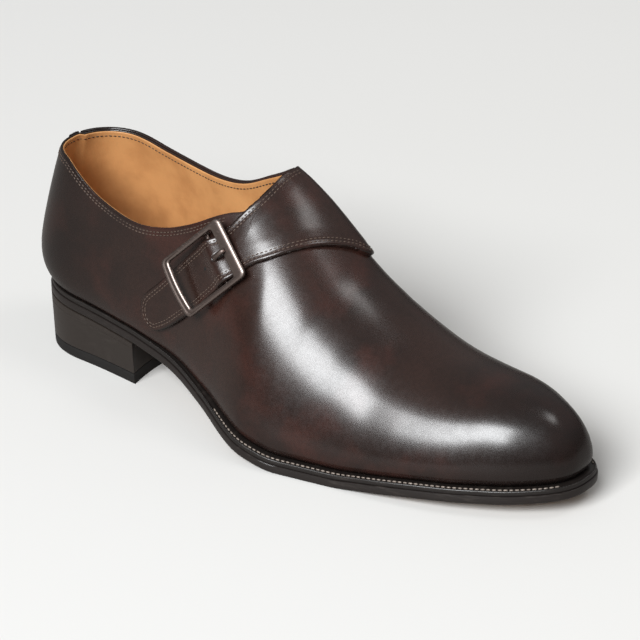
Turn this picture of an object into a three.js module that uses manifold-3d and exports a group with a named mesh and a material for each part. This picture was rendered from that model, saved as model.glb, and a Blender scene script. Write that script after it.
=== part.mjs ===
// A monk strap dress shoe for the right foot, in millimetres, with +Z up.
// X runs from the heel to the toe, +Y points to the inner side of the foot, and the shoe stands on Z = 0.
import * as THREE from "three";
import { mergeVertices } from "three/addons/utils/BufferGeometryUtils.js";
import Module from "manifold-3d";

const wasm = await Module();
wasm.setup();

// Driving dimensions of the last and the sole
const LENGTH = 306; // outsole, heel to toe
const BALL_WIDTH = 100; // outsole, across the ball of the foot
const HEEL_WIDTH = 61; // outsole, across the heel seat
const HEEL_PITCH = 29; // underside of the outsole above the floor at the back
const TOE_SPRING = 9; // underside of the outsole above the floor at the toe
const INSTEP_HEIGHT = 112; // crest of the upper above the floor where the collar ends
const BACK_HEIGHT = 104; // collar above the floor at the back
const HEEL_ROUND = 34; // length of the rounded back end of the outline
const TOE_ROUND = 34; // length of the rounded front end of the outline
const THROAT = 138; // where the collar's two edges meet on the crest, from the back
const OUTSOLE = 4.2; // thickness
const WELT = 2.1; // thickness
const WELT_WIDTH = 9; // from its outer edge inwards
const WELT_SETBACK = 0.6; // of the welt's edge from the outsole's edge
const EDGE_BEVEL = 0.8; // on the outsole's lower edge
const LEDGE = 5; // from the outsole's edge to the foot of the upper, at the forepart
const HEEL_LEDGE = 1.6; // the same, at the heel
const WALL = 1.9; // leather and lining of the upper together
const INSOLE = 2.6; // thickness
const HEEL_LENGTH = 71; // of the heel block, back to breast
const BREAST_HOLLOW = 4; // depth of the breast's curve
const TOP_PIECE = 5.5; // thickness of the heel's lowest lift
const HEEL_TAPER = 0.9; // how far the heel block draws in from seat to floor
const GAP = 0.3; // between pieces that meet
const SWELL_OUT = 2.4; // how far the upper swells out over its foot
const SWELL_RISE = 17; // height of the fullest swell above the foot, at the heel
const QUARTER = 1.3; // leather of the inner quarter where it lies over the upper
const QUARTER_START = 8; // of that quarter, from the back
const STRAP = 2.4; // leather and lining of the strap
const BUCKLE_LENGTH = 40; // along the strap
const BUCKLE_WIDTH = 30.5; // across the strap
const BUCKLE_DEPTH = 2.2; // thickness of its bars
const BUCKLE_CORNER = 2.6; // radius of its outer corners
const BUCKLE_LIFT = 5.2; // middle of the frame above the last
const FRONT_BAR = 6.3; // width of the bar nearest the instep
const REAR_BAR = 4.5; // width of the bar nearest the strap's tip
const SIDE_BAR = 2.7; // width of the two bars along the strap
const PIVOT_RADIUS = 0.9; // of the bar under the strap that the prong turns on
const PIVOT_AT = 6.5; // from the frame's middle towards the front bar
const PRONG_RADIUS = 1.15;
const WINDOW_CORNER = 1.2; // radius of the buckle's inner corners
const TIP_REACH = 12; // over which the strap's rounded tip and its front edge's apex turn

// The outline of the outsole: middle line and half width along the shoe, as shares of the widths
const OUTLINE = [
  { at: 0.0, middle: -0.003, ball: 0, heel: 0.98 },
  { at: 0.134, middle: 0.002, ball: 0, heel: 1.0 },
  { at: 0.232, middle: -0.03, ball: 0, heel: 0.974 },
  { at: 0.32, middle: -0.07, ball: 0.2, heel: 0.62 },
  { at: 0.402, middle: -0.097, ball: 0.58, heel: 0.2 },
  { at: 0.5, middle: -0.12, ball: 0.925, heel: 0 },
  { at: 0.556, middle: -0.1, ball: 0.985, heel: 0 },
  { at: 0.598, middle: -0.067, ball: 1.0, heel: 0 },
  { at: 0.68, middle: -0.026, ball: 0.974, heel: 0 },
  { at: 0.761, middle: -0.01, ball: 0.896, heel: 0 },
  { at: 0.843, middle: 0.01, ball: 0.776, heel: 0 },
  { at: 0.908, middle: 0.024, ball: 0.616, heel: 0 },
  { at: 0.958, middle: 0.037, ball: 0.49, heel: 0 },
  { at: 1.0, middle: 0.05, ball: 0.43, heel: 0 },
];

// The underside of the outsole in front of the heel, as shares of the heel pitch and of the toe spring
const SOLE_RISE = [
  { at: 0.232, pitch: 0.775, spring: 0 },
  { at: 0.32, pitch: 0.6, spring: 0 },
  { at: 0.402, pitch: 0.397, spring: 0 },
  { at: 0.5, pitch: 0.165, spring: 0 },
  { at: 0.556, pitch: 0.042, spring: 0 },
  { at: 0.588, pitch: 0, spring: 0 },
  { at: 0.673, pitch: 0, spring: 0 },
  { at: 0.712, pitch: 0, spring: 0.14 },
  { at: 0.794, pitch: 0, spring: 0.44 },
  { at: 0.876, pitch: 0, spring: 0.64 },
  { at: 0.941, pitch: 0, spring: 0.78 },
  { at: 1.0, pitch: 0, spring: 1 },
];

// The crest of the last from heel to toe: its height and its shift to the inner side, as shares of the
// instep height and ball width, with the two powers that round each section's side and top
const SECTIONS = [
  { at: 0.0, crest: 1.17, shift: 0.0, side: 2.4, top: 2.2 },
  { at: 0.16, crest: 1.17, shift: 0.0, side: 2.4, top: 2.2 },
  { at: 0.25, crest: 1.17, shift: 0.0, side: 2.4, top: 2.2 },
  { at: 0.34, crest: 1.15, shift: 0.015, side: 2.2, top: 2.1 },
  { at: 0.39, crest: 1.11, shift: 0.04, side: 2.1, top: 2.0 },
  { at: 0.438, crest: 1.057, shift: 0.065, side: 2.0, top: 1.9 },
  { at: 0.467, crest: 1.008, shift: 0.075, side: 1.95, top: 1.88 },
  { at: 0.503, crest: 0.937, shift: 0.08, side: 1.95, top: 1.88 },
  { at: 0.533, crest: 0.867, shift: 0.08, side: 1.95, top: 1.88 },
  { at: 0.565, crest: 0.782, shift: 0.08, side: 2.0, top: 1.9 },
  { at: 0.598, crest: 0.698, shift: 0.078, side: 2.05, top: 1.95 },
  { at: 0.634, crest: 0.63, shift: 0.073, side: 2.1, top: 2.0 },
  { at: 0.673, crest: 0.567, shift: 0.067, side: 2.15, top: 2.05 },
  { at: 0.716, crest: 0.514, shift: 0.06, side: 2.15, top: 2.05 },
  { at: 0.761, crest: 0.478, shift: 0.052, side: 2.2, top: 2.1 },
  { at: 0.81, crest: 0.46, shift: 0.05, side: 2.2, top: 2.15 },
  { at: 0.856, crest: 0.45, shift: 0.05, side: 2.3, top: 2.25 },
  { at: 0.89, crest: 0.437, shift: 0.05, side: 2.5, top: 2.5 },
  { at: 1.0, crest: 0.37, shift: 0.05, side: 2.9, top: 2.8 },
];

// How far the upper swells out over its foot, and how high the swell sits above it, as shares of the
// swell's own two sizes
const SWELL = [
  { at: 0.0, outer: 2.58, inner: 2.58, rise: 1.0 },
  { at: 0.12, outer: 1.42, inner: 1.42, rise: 1.0 },
  { at: 0.25, outer: 1.08, inner: 1.0, rise: 0.88 },
  { at: 0.4, outer: 1.0, inner: 1.17, rise: 0.71 },
  { at: 0.55, outer: 1.0, inner: 1.0, rise: 0.53 },
  { at: 0.75, outer: 0.92, inner: 0.92, rise: 0.41 },
  { at: 1.0, outer: 1.08, inner: 1.08, rise: 0.47 },
];

// The collar's height on either side, as shares of the back height
const COLLAR = [
  { at: 0.0, outer: 1.0, inner: 1.0 },
  { at: 0.07, outer: 0.985, inner: 0.995 },
  { at: 0.095, outer: 0.95, inner: 0.99 },
  { at: 0.123, outer: 0.9, inner: 0.977 },
  { at: 0.152, outer: 0.86, inner: 0.957 },
  { at: 0.2, outer: 0.822, inner: 0.937 },
  { at: 0.248, outer: 0.81, inner: 0.925 },
  { at: 0.297, outer: 0.835, inner: 0.932 },
  { at: 0.343, outer: 0.889, inner: 0.957 },
  { at: 0.389, outer: 0.96, inner: 1.02 },
  { at: 0.41, outer: 0.985, inner: 1.05 },
  { at: 0.425, outer: 0.996, inner: 1.075 },
  { at: 0.434, outer: 1.006, inner: 1.088 },
  { at: 0.44, outer: 1.025, inner: 1.097 },
  { at: 0.446, outer: 1.06, inner: 1.106 },
];

// A smooth line through one column of a table of rows
function smooth(rows, column) {
  const xs = rows.map((row) => row.at);
  const ys = rows.map((row) => row[column]);
  const last = xs.length - 1;
  const slope = xs.map((_, i) => {
    const before = Math.max(i - 1, 0);
    const after = Math.min(i + 1, last);
    return (ys[after] - ys[before]) / (xs[after] - xs[before]);
  });
  return (at) => {
    const x = Math.min(Math.max(at, xs[0]), xs[last]);
    let i = 0;
    while (i < last - 1 && x > xs[i + 1]) i += 1;
    const span = xs[i + 1] - xs[i];
    const t = (x - xs[i]) / span;
    const rise = ys[i + 1] - ys[i];
    const bend = (slope[i] * span - rise) * (1 - t) - (slope[i + 1] * span - rise) * t;
    return ys[i] + rise * t + t * (1 - t) * bend;
  };
}

const middleShare = smooth(OUTLINE, "middle");
const ballShare = smooth(OUTLINE, "ball");
const heelShare = smooth(OUTLINE, "heel");
const pitchShare = smooth(SOLE_RISE, "pitch");
const springShare = smooth(SOLE_RISE, "spring");
const crestShare = smooth(SECTIONS, "crest");
const shiftShare = smooth(SECTIONS, "shift");
const sidePower = smooth(SECTIONS, "side");
const topPower = smooth(SECTIONS, "top");
const swellRise = smooth(SWELL, "rise");
const swellOf = { "-1": smooth(SWELL, "outer"), 1: smooth(SWELL, "inner") };

// A rounded end: 0 at the tip and 1 once the reach is passed
function endShare(distance, reach, power) {
  const t = Math.min(Math.max(distance / reach, 0), 1);
  return Math.pow(1 - Math.pow(1 - t, power), 1 / power);
}

const HEEL_POWER = 2.25; // roundness of the outline at the back
const TOE_POWER = 2.6; // a higher power gives the chisel toe its soft corners

// A point on the outsole's outline; side is -1 for the outer and 1 for the inner side of the foot
function outlinePoint(x, side) {
  const at = x / LENGTH;
  const round = endShare(x, HEEL_ROUND, HEEL_POWER) * endShare(LENGTH - x, TOE_ROUND, TOE_POWER);
  const half = (ballShare(at) * BALL_WIDTH + heelShare(at) * HEEL_WIDTH) / 2;
  return new THREE.Vector2(x, middleShare(at) * BALL_WIDTH + side * half * round);
}

// The underside of the outsole: straight over the heel, then down to the ball and up to the toe
function soleRise(x) {
  const first = SOLE_RISE[0];
  const at = x / LENGTH;
  if (at < first.at) return HEEL_PITCH * (1 - ((1 - first.pitch) * at) / first.at);
  return HEEL_PITCH * Math.max(pitchShare(at), 0) + TOE_SPRING * Math.max(springShare(at), 0);
}

const FOOT_RISE = OUTSOLE + GAP + WELT + GAP; // from the outsole's underside to the foot of the upper

// Stations from one place up to, but without, another, closer together towards the second
function closing(from, to, count, power) {
  return Array.from({ length: count }, (_, i) => to - (to - from) * Math.pow(1 - i / count, power));
}

// Stations along the shoe, close together where the ends turn and where the collar meets the crest
function stations(ends, back, front) {
  const list = [];
  for (let i = 0; i < ends; i += 1) list.push(HEEL_ROUND * (1 - Math.cos((i / ends) * (Math.PI / 2))));
  list.push(...closing(HEEL_ROUND, THROAT, back, 1.9));
  list.push(...closing(THROAT, LENGTH - TOE_ROUND, front, 1));
  for (let i = 0; i <= ends; i += 1) {
    list.push(LENGTH - TOE_ROUND * (1 - Math.sin((i / ends) * (Math.PI / 2))));
  }
  return list;
}

// The outline drawn in by an inset that may change along the shoe
function insetPoint(x, side, inset) {
  const step = 0.02;
  const ahead = outlinePoint(Math.min(x + step, LENGTH), side);
  const behind = outlinePoint(Math.max(x - step, 0), side);
  const along = ahead.sub(behind);
  if (x <= step) along.set(0, side);
  if (x >= LENGTH - step) along.set(0, -side);
  along.normalize();
  const point = outlinePoint(x, side);
  return new THREE.Vector2(point.x + along.y * side * inset, point.y - along.x * side * inset);
}

// The ledge between the outsole's edge and the foot of the upper, wider at the forepart
function ledge(x) {
  const t = THREE.MathUtils.smoothstep(x / LENGTH, 0.2, 0.56);
  return HEEL_LEDGE + (LEDGE - HEEL_LEDGE) * t;
}

// The foot of the upper
function footPoint(x, side) {
  const flat = insetPoint(x, side, ledge(x));
  return new THREE.Vector3(flat.x, flat.y, soleRise(flat.x) + FOOT_RISE);
}

// The crest where the heel's sections meet, and where they stand square, as shares of the length
const FAN_HEEL = { start: 0.105, end: 0.154 };
const FAN_TOE = { start: 0.778, end: 0.882 }; // the same at the toe

// The crest station that a section leans to: the sections fan out around both ends
function crestStation(x) {
  const at = x / LENGTH;
  if (at < FAN_HEEL.end) {
    const reach = FAN_HEEL.end - FAN_HEEL.start;
    return LENGTH * (FAN_HEEL.start + reach * Math.pow(at / FAN_HEEL.end, FAN_HEEL.end / reach));
  }
  if (at > FAN_TOE.start) {
    const reach = FAN_TOE.end - FAN_TOE.start;
    const t = (1 - at) / (1 - FAN_TOE.start);
    return LENGTH * (FAN_TOE.end - reach * Math.pow(t, (1 - FAN_TOE.start) / reach));
  }
  return x;
}

function crestHeight(x) {
  return INSTEP_HEIGHT * crestShare(x / LENGTH);
}

// A point on the last: turn is 0 at the foot of the upper and a right angle at the crest
function lastPoint(x, side, turn) {
  const foot = footPoint(x, side);
  const top = crestStation(x);
  const at = x / LENGTH;
  const crest = new THREE.Vector3(top, shiftShare(top / LENGTH) * BALL_WIDTH, crestHeight(top));
  const slope = crestHeight(top + 0.5) - crestHeight(top - 0.5);
  const inward = 1 - Math.pow(Math.max(Math.cos(turn), 0), 2 / sidePower(at));
  const upward = Math.pow(Math.max(Math.sin(turn), 0), 2 / topPower(at));
  const lean = slope * (crest.x - foot.x);
  const z = foot.z + (crest.z - foot.z - lean) * upward + lean * inward;
  const flat = new THREE.Vector2(crest.x - foot.x, crest.y - foot.y);
  const reach = flat.length();
  const height = Math.max(z - foot.z, 0) / (SWELL_RISE * swellRise(at));
  const swell = SWELL_OUT * swellOf[side](at) * height * Math.exp(1 - height) * (1 - inward);
  const move = inward - swell / reach;
  return new THREE.Vector3(foot.x + flat.x * move, foot.y + flat.y * move, z);
}

const collarRows = [...COLLAR, { at: THROAT / LENGTH, outer: 0, inner: 0 }];
const throatShare = crestHeight(THROAT) / BACK_HEIGHT;
collarRows[collarRows.length - 1].outer = throatShare;
collarRows[collarRows.length - 1].inner = throatShare;
const collarOf = { "-1": smooth(collarRows, "outer"), 1: smooth(collarRows, "inner") };

// A place on a section as a share of the way from its crest (0) down to its foot (1)
const turnOf = (share) => (1 - Math.min(Math.max(share, 0), 1)) * (Math.PI / 2);
const shareOf = (turn) => 1 - turn / (Math.PI / 2);

// The turn at which a section ends: at the collar behind the throat, else at the crest
function endTurn(x, side) {
  if (x >= THROAT) return Math.PI / 2;
  let low = 0;
  let high = Math.PI / 2;
  for (let i = 0; i < 30; i += 1) {
    const turn = (low + high) / 2;
    const point = lastPoint(x, side, turn);
    const collar = x <= 0 ? collarOf[1] : collarOf[side];
    if (point.z < BACK_HEIGHT * collar(point.x / LENGTH)) low = turn;
    else high = turn;
  }
  return (low + high) / 2;
}

// The outward normal of the last, from its own neighbours
function lastNormal(x, side, turn) {
  const step = 0.35;
  const bend = 0.012;
  const tip = x <= 0 || x >= LENGTH;
  const crest = turn > Math.PI / 2 - bend / 2;
  const across = crest
    ? lastPoint(x, 1, turn - bend).sub(lastPoint(x, -1, turn - bend))
    : lastPoint(x, side, turn + bend).sub(lastPoint(x, side, Math.max(turn - bend, 0.001)));
  const inside = Math.min(Math.max(x, step), LENGTH - step);
  const along = tip
    ? lastPoint(inside, 1, turn).sub(lastPoint(inside, -1, turn))
    : lastPoint(Math.min(x + step, LENGTH), side, turn).sub(lastPoint(Math.max(x - step, 0), side, turn));
  const normal = new THREE.Vector3().crossVectors(along, across).normalize();
  if (crest) return normal.z < 0 ? normal.negate() : normal;
  const out = new THREE.Vector3().subVectors(lastPoint(x, side, turn), crestMiddle(x));
  return normal.dot(out) < 0 ? normal.negate() : normal;
}

// A point inside the last, below the crest, that every section's surface faces away from
function crestMiddle(x) {
  const top = crestStation(x);
  return new THREE.Vector3(top, shiftShare(top / LENGTH) * BALL_WIDTH, soleRise(top) + FOOT_RISE);
}

// A point at a distance outside (or, if negative, inside) the last
function skinPoint(x, side, turn, offset) {
  const normal = lastNormal(x, side, turn);
  if (turn < 0.001) normal.setZ(0).normalize();
  return lastPoint(x, side, turn).addScaledVector(normal, offset);
}

// The upper is sunk under the inner quarter, so that both skins run flush at the heel
function sink(x, side) {
  const { smoothstep } = THREE.MathUtils;
  const share = smoothstep(x, QUARTER_START / 4, QUARTER_START) * (1 - smoothstep(x / THROAT, 0.15, 0.95));
  return side < 0 ? 0 : (GAP + QUARTER) * share;
}

// Collects triangles and turns them into a closed geometry
class Shell {
  constructor() {
    this.corners = [];
  }

  triangle(a, b, c) {
    const flat = a.distanceTo(b) < 1e-6 || b.distanceTo(c) < 1e-6 || c.distanceTo(a) < 1e-6;
    if (!flat) this.corners.push(...a.toArray(), ...b.toArray(), ...c.toArray());
  }

  quad(a, b, c, d) {
    this.triangle(a, b, c);
    this.triangle(a, c, d);
  }

  geometry() {
    const geometry = new THREE.BufferGeometry();
    geometry.setAttribute("position", new THREE.Float32BufferAttribute(this.corners, 3));
    return mergeVertices(geometry, 1e-5);
  }
}

// A slab that follows the outline: each layer is an inset and a height function, from the bottom up
function slab(xs, layers) {
  const shell = new Shell();
  const rings = layers.map(({ inset, height }) =>
    [-1, 1].map((side) =>
      xs.map((x) => {
        const flat = insetPoint(x, side, typeof inset === "function" ? inset(x, side) : inset);
        return new THREE.Vector3(flat.x, flat.y, height(flat.x));
      }),
    ),
  );
  const last = rings.length - 1;
  for (let k = 0; k < xs.length - 1; k += 1) {
    for (let i = 0; i < last; i += 1) {
      const [outer, inner] = rings[i];
      const [outerUp, innerUp] = rings[i + 1];
      shell.quad(outer[k], outer[k + 1], outerUp[k + 1], outerUp[k]);
      shell.quad(inner[k + 1], inner[k], innerUp[k], innerUp[k + 1]);
    }
    const [outer, inner] = rings[0];
    shell.quad(inner[k], inner[k + 1], outer[k + 1], outer[k]);
    const [outerUp, innerUp] = rings[last];
    shell.quad(outerUp[k], outerUp[k + 1], innerUp[k + 1], innerUp[k]);
  }
  return shell.geometry();
}

const group = new THREE.Group();

function addPiece(name, geometry, look) {
  const mesh = new THREE.Mesh(geometry, new THREE.MeshStandardMaterial(look));
  mesh.name = name;
  group.add(mesh);
}

const LOOK = {
  upper: { color: 0x2c1c17, roughness: 0.28, metalness: 0 },
  edge: { color: 0x1a1513, roughness: 0.45, metalness: 0 },
  insole: { color: 0xa8794a, roughness: 0.6, metalness: 0 },
  rubber: { color: 0x161412, roughness: 0.7, metalness: 0 },
  metal: { color: 0x4a403c, roughness: 0.25, metalness: 1 },
};

const soleStations = stations(9, 11, 11);

function outsoleGeometry() {
  return slab(soleStations, [
    { inset: EDGE_BEVEL, height: soleRise },
    { inset: 0, height: (x) => soleRise(x) + EDGE_BEVEL },
    { inset: 0, height: (x) => soleRise(x) + OUTSOLE },
  ]);
}

const weltTop = (x) => soleRise(x) + OUTSOLE + GAP + WELT;

// The welt is a ring under the foot of the upper
function weltGeometry() {
  const shell = new Shell();
  const bottom = (x) => soleRise(x) + OUTSOLE + GAP;
  const corners = [
    { inset: WELT_SETBACK, height: bottom },
    { inset: WELT_SETBACK, height: weltTop },
    { inset: WELT_SETBACK + WELT_WIDTH, height: weltTop },
    { inset: WELT_SETBACK + WELT_WIDTH, height: bottom },
  ];
  const rings = corners.map(({ inset, height }) =>
    [-1, 1].map((side) =>
      soleStations.map((x) => {
        const flat = insetPoint(x, side, inset);
        return new THREE.Vector3(flat.x, flat.y, height(flat.x));
      }),
    ),
  );
  for (let k = 0; k < soleStations.length - 1; k += 1) {
    rings.forEach(([outer, inner], i) => {
      const [outerNext, innerNext] = rings[(i + 1) % rings.length];
      shell.quad(outer[k], outer[k + 1], outerNext[k + 1], outerNext[k]);
      shell.quad(inner[k + 1], inner[k], innerNext[k], innerNext[k + 1]);
    });
  }
  return shell.geometry();
}

// The insole rests on the welt inside the upper and fills the hollow within the welt
function insoleGeometry() {
  const low = (x) => soleRise(x) + OUTSOLE + GAP;
  const high = (x) => weltTop(x) + GAP;
  const within = WELT_SETBACK + WELT_WIDTH + GAP;
  const wide = (x, side) => ledge(x) + WALL + GAP + sink(x, side);
  return slab(soleStations, [
    { inset: within, height: low },
    { inset: within, height: high },
    { inset: wide, height: high },
    { inset: wide, height: (x) => high(x) + INSOLE },
  ]);
}

// The rounded back of the heel, its two sides and its hollow breast, as one loop seen from above
function heelLoop(inset, corner) {
  const steps = 10;
  const side = -1;
  const xs = [];
  for (let i = 0; i <= steps; i += 1) xs.push(HEEL_ROUND * (1 - Math.cos((i / steps) * (Math.PI / 2))));
  xs.push((HEEL_ROUND + corner) / 2, corner);
  const outer = xs.map((x) => insetPoint(x, side, inset));
  const inner = xs.map((x) => insetPoint(x, -side, inset)).slice(1);
  const start = outer[outer.length - 1];
  const end = inner[inner.length - 1];
  const breast = [];
  for (let i = 1; i < steps; i += 1) {
    const t = i / steps;
    const point = start.clone().lerp(end, t);
    point.x -= BREAST_HOLLOW * 4 * t * (1 - t);
    breast.push(point);
  }
  return [...outer, ...breast, ...inner.reverse()];
}

// A block between two loops with the same number of points
function block(bottomLoop, topLoop, bottomHeight, topHeight) {
  const shell = new Shell();
  const low = bottomLoop.map((p) => new THREE.Vector3(p.x, p.y, bottomHeight(p.x)));
  const high = topLoop.map((p) => new THREE.Vector3(p.x, p.y, topHeight(p.x)));
  const count = low.length;
  for (let i = 0; i < count; i += 1) {
    const next = (i + 1) % count;
    shell.quad(low[i], low[next], high[next], high[i]);
  }
  THREE.ShapeUtils.triangulateShape(bottomLoop, []).forEach(([a, b, c]) => {
    shell.triangle(low[a], low[c], low[b]);
    shell.triangle(high[a], high[b], high[c]);
  });
  return shell.geometry();
}

function heelInset(z) {
  return HEEL_TAPER * (1 - z / HEEL_PITCH);
}

function topPieceGeometry() {
  const bottom = heelLoop(heelInset(0), HEEL_LENGTH);
  const top = heelLoop(heelInset(TOP_PIECE), HEEL_LENGTH);
  return block(bottom, top, () => 0, () => TOP_PIECE);
}

function heelStackGeometry() {
  const bottom = heelLoop(heelInset(TOP_PIECE + GAP), HEEL_LENGTH);
  const top = heelLoop(heelInset(HEEL_PITCH), HEEL_LENGTH);
  return block(bottom, top, () => TOP_PIECE + GAP, (x) => soleRise(x) - GAP);
}

const upperStations = stations(9, 16, 14);
const ROWS = 18; // rows of facets from the foot of the upper to its crest

// The rows' heights between two limits, as shares of the way from the crest (0) down to the foot (1): the
// rows run level along the whole shoe, and those past a limit lie on it
function rowShares(low, high, rows = ROWS) {
  return Array.from({ length: rows + 1 }, (_, j) => Math.max(Math.min(1 - j / rows, low), high));
}

// The hollow upper: outer skin, inner skin and the two rims at foot and collar
function upperGeometry() {
  const shell = new Shell();
  const skins = [0, -WALL].map((offset) =>
    [-1, 1].map((side) =>
      upperStations.map((x) => {
        const end = endTurn(x, side);
        const skin = offset - sink(x, side);
        return rowShares(1, shareOf(end)).map((share) => skinPoint(x, side, turnOf(share), skin));
      }),
    ),
  );
  const count = upperStations.length;
  for (let k = 0; k < count - 1; k += 1) {
    [0, 1].forEach((s) => {
      const outside = skins[0][s];
      const inside = skins[1][s];
      const face = (a, b, c, d) => (s === 0 ? shell.quad(a, b, c, d) : shell.quad(d, c, b, a));
      for (let j = 0; j < ROWS; j += 1) {
        face(outside[k][j], outside[k + 1][j], outside[k + 1][j + 1], outside[k][j + 1]);
        face(inside[k][j + 1], inside[k + 1][j + 1], inside[k + 1][j], inside[k][j]);
      }
      face(inside[k][0], inside[k + 1][0], outside[k + 1][0], outside[k][0]);
      if (upperStations[k] < THROAT - 1e-6) {
        face(outside[k][ROWS], outside[k + 1][ROWS], inside[k + 1][ROWS], inside[k][ROWS]);
      }
    });
  }
  return shell.geometry();
}

// The overlay's edges: stations as shares of the length, heights as shares of the way from the crest (0)
// down to the foot of the upper (1)
const INNER_QUARTER = [
  { at: 0.02, front: 0.99, rear: 0 },
  { at: 0.4, front: 0.99, rear: 0 },
  { at: 0.406, front: 0.985, rear: 0 },
  { at: 0.43, front: 0.894, rear: 0 },
  { at: 0.468, front: 0.744, rear: 0 },
  { at: 0.513, front: 0.55, rear: 0 },
  { at: 0.536, front: 0.443, rear: 0 },
  { at: 0.553, front: 0.35, rear: 0 },
  { at: 0.566, front: 0.26, rear: 0 },
  { at: 0.571, front: 0.22, rear: 0 },
  { at: 0.575, front: 0.18, rear: 0.035 },
  { at: 0.578, front: 0.13, rear: 0.09 },
  { at: 0.5785, front: 0.11, rear: 0.11 },
];
const OUTER_STRAP = [
  { at: 0.262, front: 0.905, rear: 0.905 },
  { at: 0.2645, front: 0.928, rear: 0.88 },
  { at: 0.272, front: 0.943, rear: 0.855 },
  { at: 0.286, front: 0.949, rear: 0.824 },
  { at: 0.301, front: 0.938, rear: 0.79 },
  { at: 0.333, front: 0.885, rear: 0.705 },
  { at: 0.386, front: 0.76, rear: 0.54 },
  { at: 0.412, front: 0.68, rear: 0.458 },
  { at: 0.434, front: 0.605, rear: 0.323 },
  { at: 0.446, front: 0.562, rear: 0.2 },
  { at: 0.451, front: 0.544, rear: 0 },
  { at: 0.469, front: 0.475, rear: 0 },
  { at: 0.496, front: 0.387, rear: 0 },
  { at: 0.519, front: 0.292, rear: 0 },
  { at: 0.537, front: 0.2, rear: 0 },
  { at: 0.553, front: 0.105, rear: 0 },
  { at: 0.563, front: 0.045, rear: 0 },
  { at: 0.571, front: 0, rear: 0 },
];
const innerFront = smooth(INNER_QUARTER, "front");
const innerRear = smooth(INNER_QUARTER, "rear");
const outerFront = smooth(OUTER_STRAP, "front");
const outerRear = smooth(OUTER_STRAP, "rear");
const STRAP_TIP = OUTER_STRAP[0].at * LENGTH;
const STRAP_APEX = OUTER_STRAP[OUTER_STRAP.length - 1].at * LENGTH; // where the front edge crosses the crest
const STRAP_NOSE = INNER_QUARTER[INNER_QUARTER.length - 1].at * LENGTH; // the front edge's foremost point

// The buckle's own frame: u runs along the strap to the instep, v across it and n away from the shoe
const BUCKLE_PLACE = { at: 0.397, share: 0.615, lean: 0.1, turn: 45.8 };

function buckleFrame() {
  const x = BUCKLE_PLACE.at * LENGTH;
  const turn = turnOf(BUCKLE_PLACE.share);
  const skin = lastNormal(x, -1, turn);
  const ahead = new THREE.Vector3(1, 0, 0).addScaledVector(skin, -skin.x).normalize();
  const n = skin.clone().addScaledVector(ahead, BUCKLE_PLACE.lean).normalize();
  const level = ahead.clone().addScaledVector(n, -ahead.dot(n)).normalize();
  const u = level.applyAxisAngle(n, THREE.MathUtils.degToRad(BUCKLE_PLACE.turn));
  const v = new THREE.Vector3().crossVectors(n, u);
  const centre = skinPoint(x, -1, turn, BUCKLE_LIFT);
  return new THREE.Matrix4().makeBasis(u, v, n).setPosition(centre);
}

const buckleToShoe = buckleFrame();
const shoeToBuckle = buckleToShoe.clone().invert();

// How far a point in the buckle's frame stands off the last
function standOff(local) {
  const point = local.clone().applyMatrix4(buckleToShoe);
  const best = { at: BUCKLE_PLACE.at, share: BUCKLE_PLACE.share };
  const step = { at: 0.03, share: 0.1 };
  const away = (at, share) => lastPoint(at * LENGTH, -1, turnOf(share)).distanceTo(point);
  for (let round = 0; round < 60; round += 1) {
    let moved = false;
    for (const key of ["at", "share"]) {
      for (const sign of [-1, 1]) {
        const trial = { ...best };
        trial[key] += sign * step[key];
        if (away(trial.at, trial.share) < away(best.at, best.share)) {
          Object.assign(best, trial);
          moved = true;
        }
      }
    }
    if (!moved) {
      step.at /= 2;
      step.share /= 2;
    }
  }
  return away(best.at, best.share);
}

// The pivot bar's two ends in the buckle's frame: just clear of the upper
const pivotEnds = [-1, 1].map((end) => {
  const top = new THREE.Vector3(PIVOT_AT, (end * (BUCKLE_WIDTH - SIDE_BAR)) / 2, 0);
  return top.clone().setZ(GAP + PIVOT_RADIUS - standOff(top));
});
const pivotMiddle = pivotEnds[0].clone().lerp(pivotEnds[1], 0.5);

// How far the strap rises to pass over the pivot bar
function pivotRise(point) {
  const local = point.clone().applyMatrix4(shoeToBuckle);
  const away = (local.x - PIVOT_AT) / (5 * PIVOT_RADIUS);
  const near = point.y < 0 ? Math.exp(-away * away) : 0;
  return 2 * (PIVOT_RADIUS + GAP) * near;
}

// The overlay's two skins at one place
function overlaySkins(x, side, share) {
  const turn = turnOf(share);
  const { smoothstep } = THREE.MathUtils;
  const thick = side < 0 ? STRAP : STRAP + (QUARTER - STRAP) * smoothstep(share, 0.05, 0.5);
  const rise = side < 0 ? pivotRise(lastPoint(x, side, turn)) : 0;
  const low = GAP + rise - sink(x, side);
  return [skinPoint(x, side, turn, low + thick), skinPoint(x, side, turn, low)];
}

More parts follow.
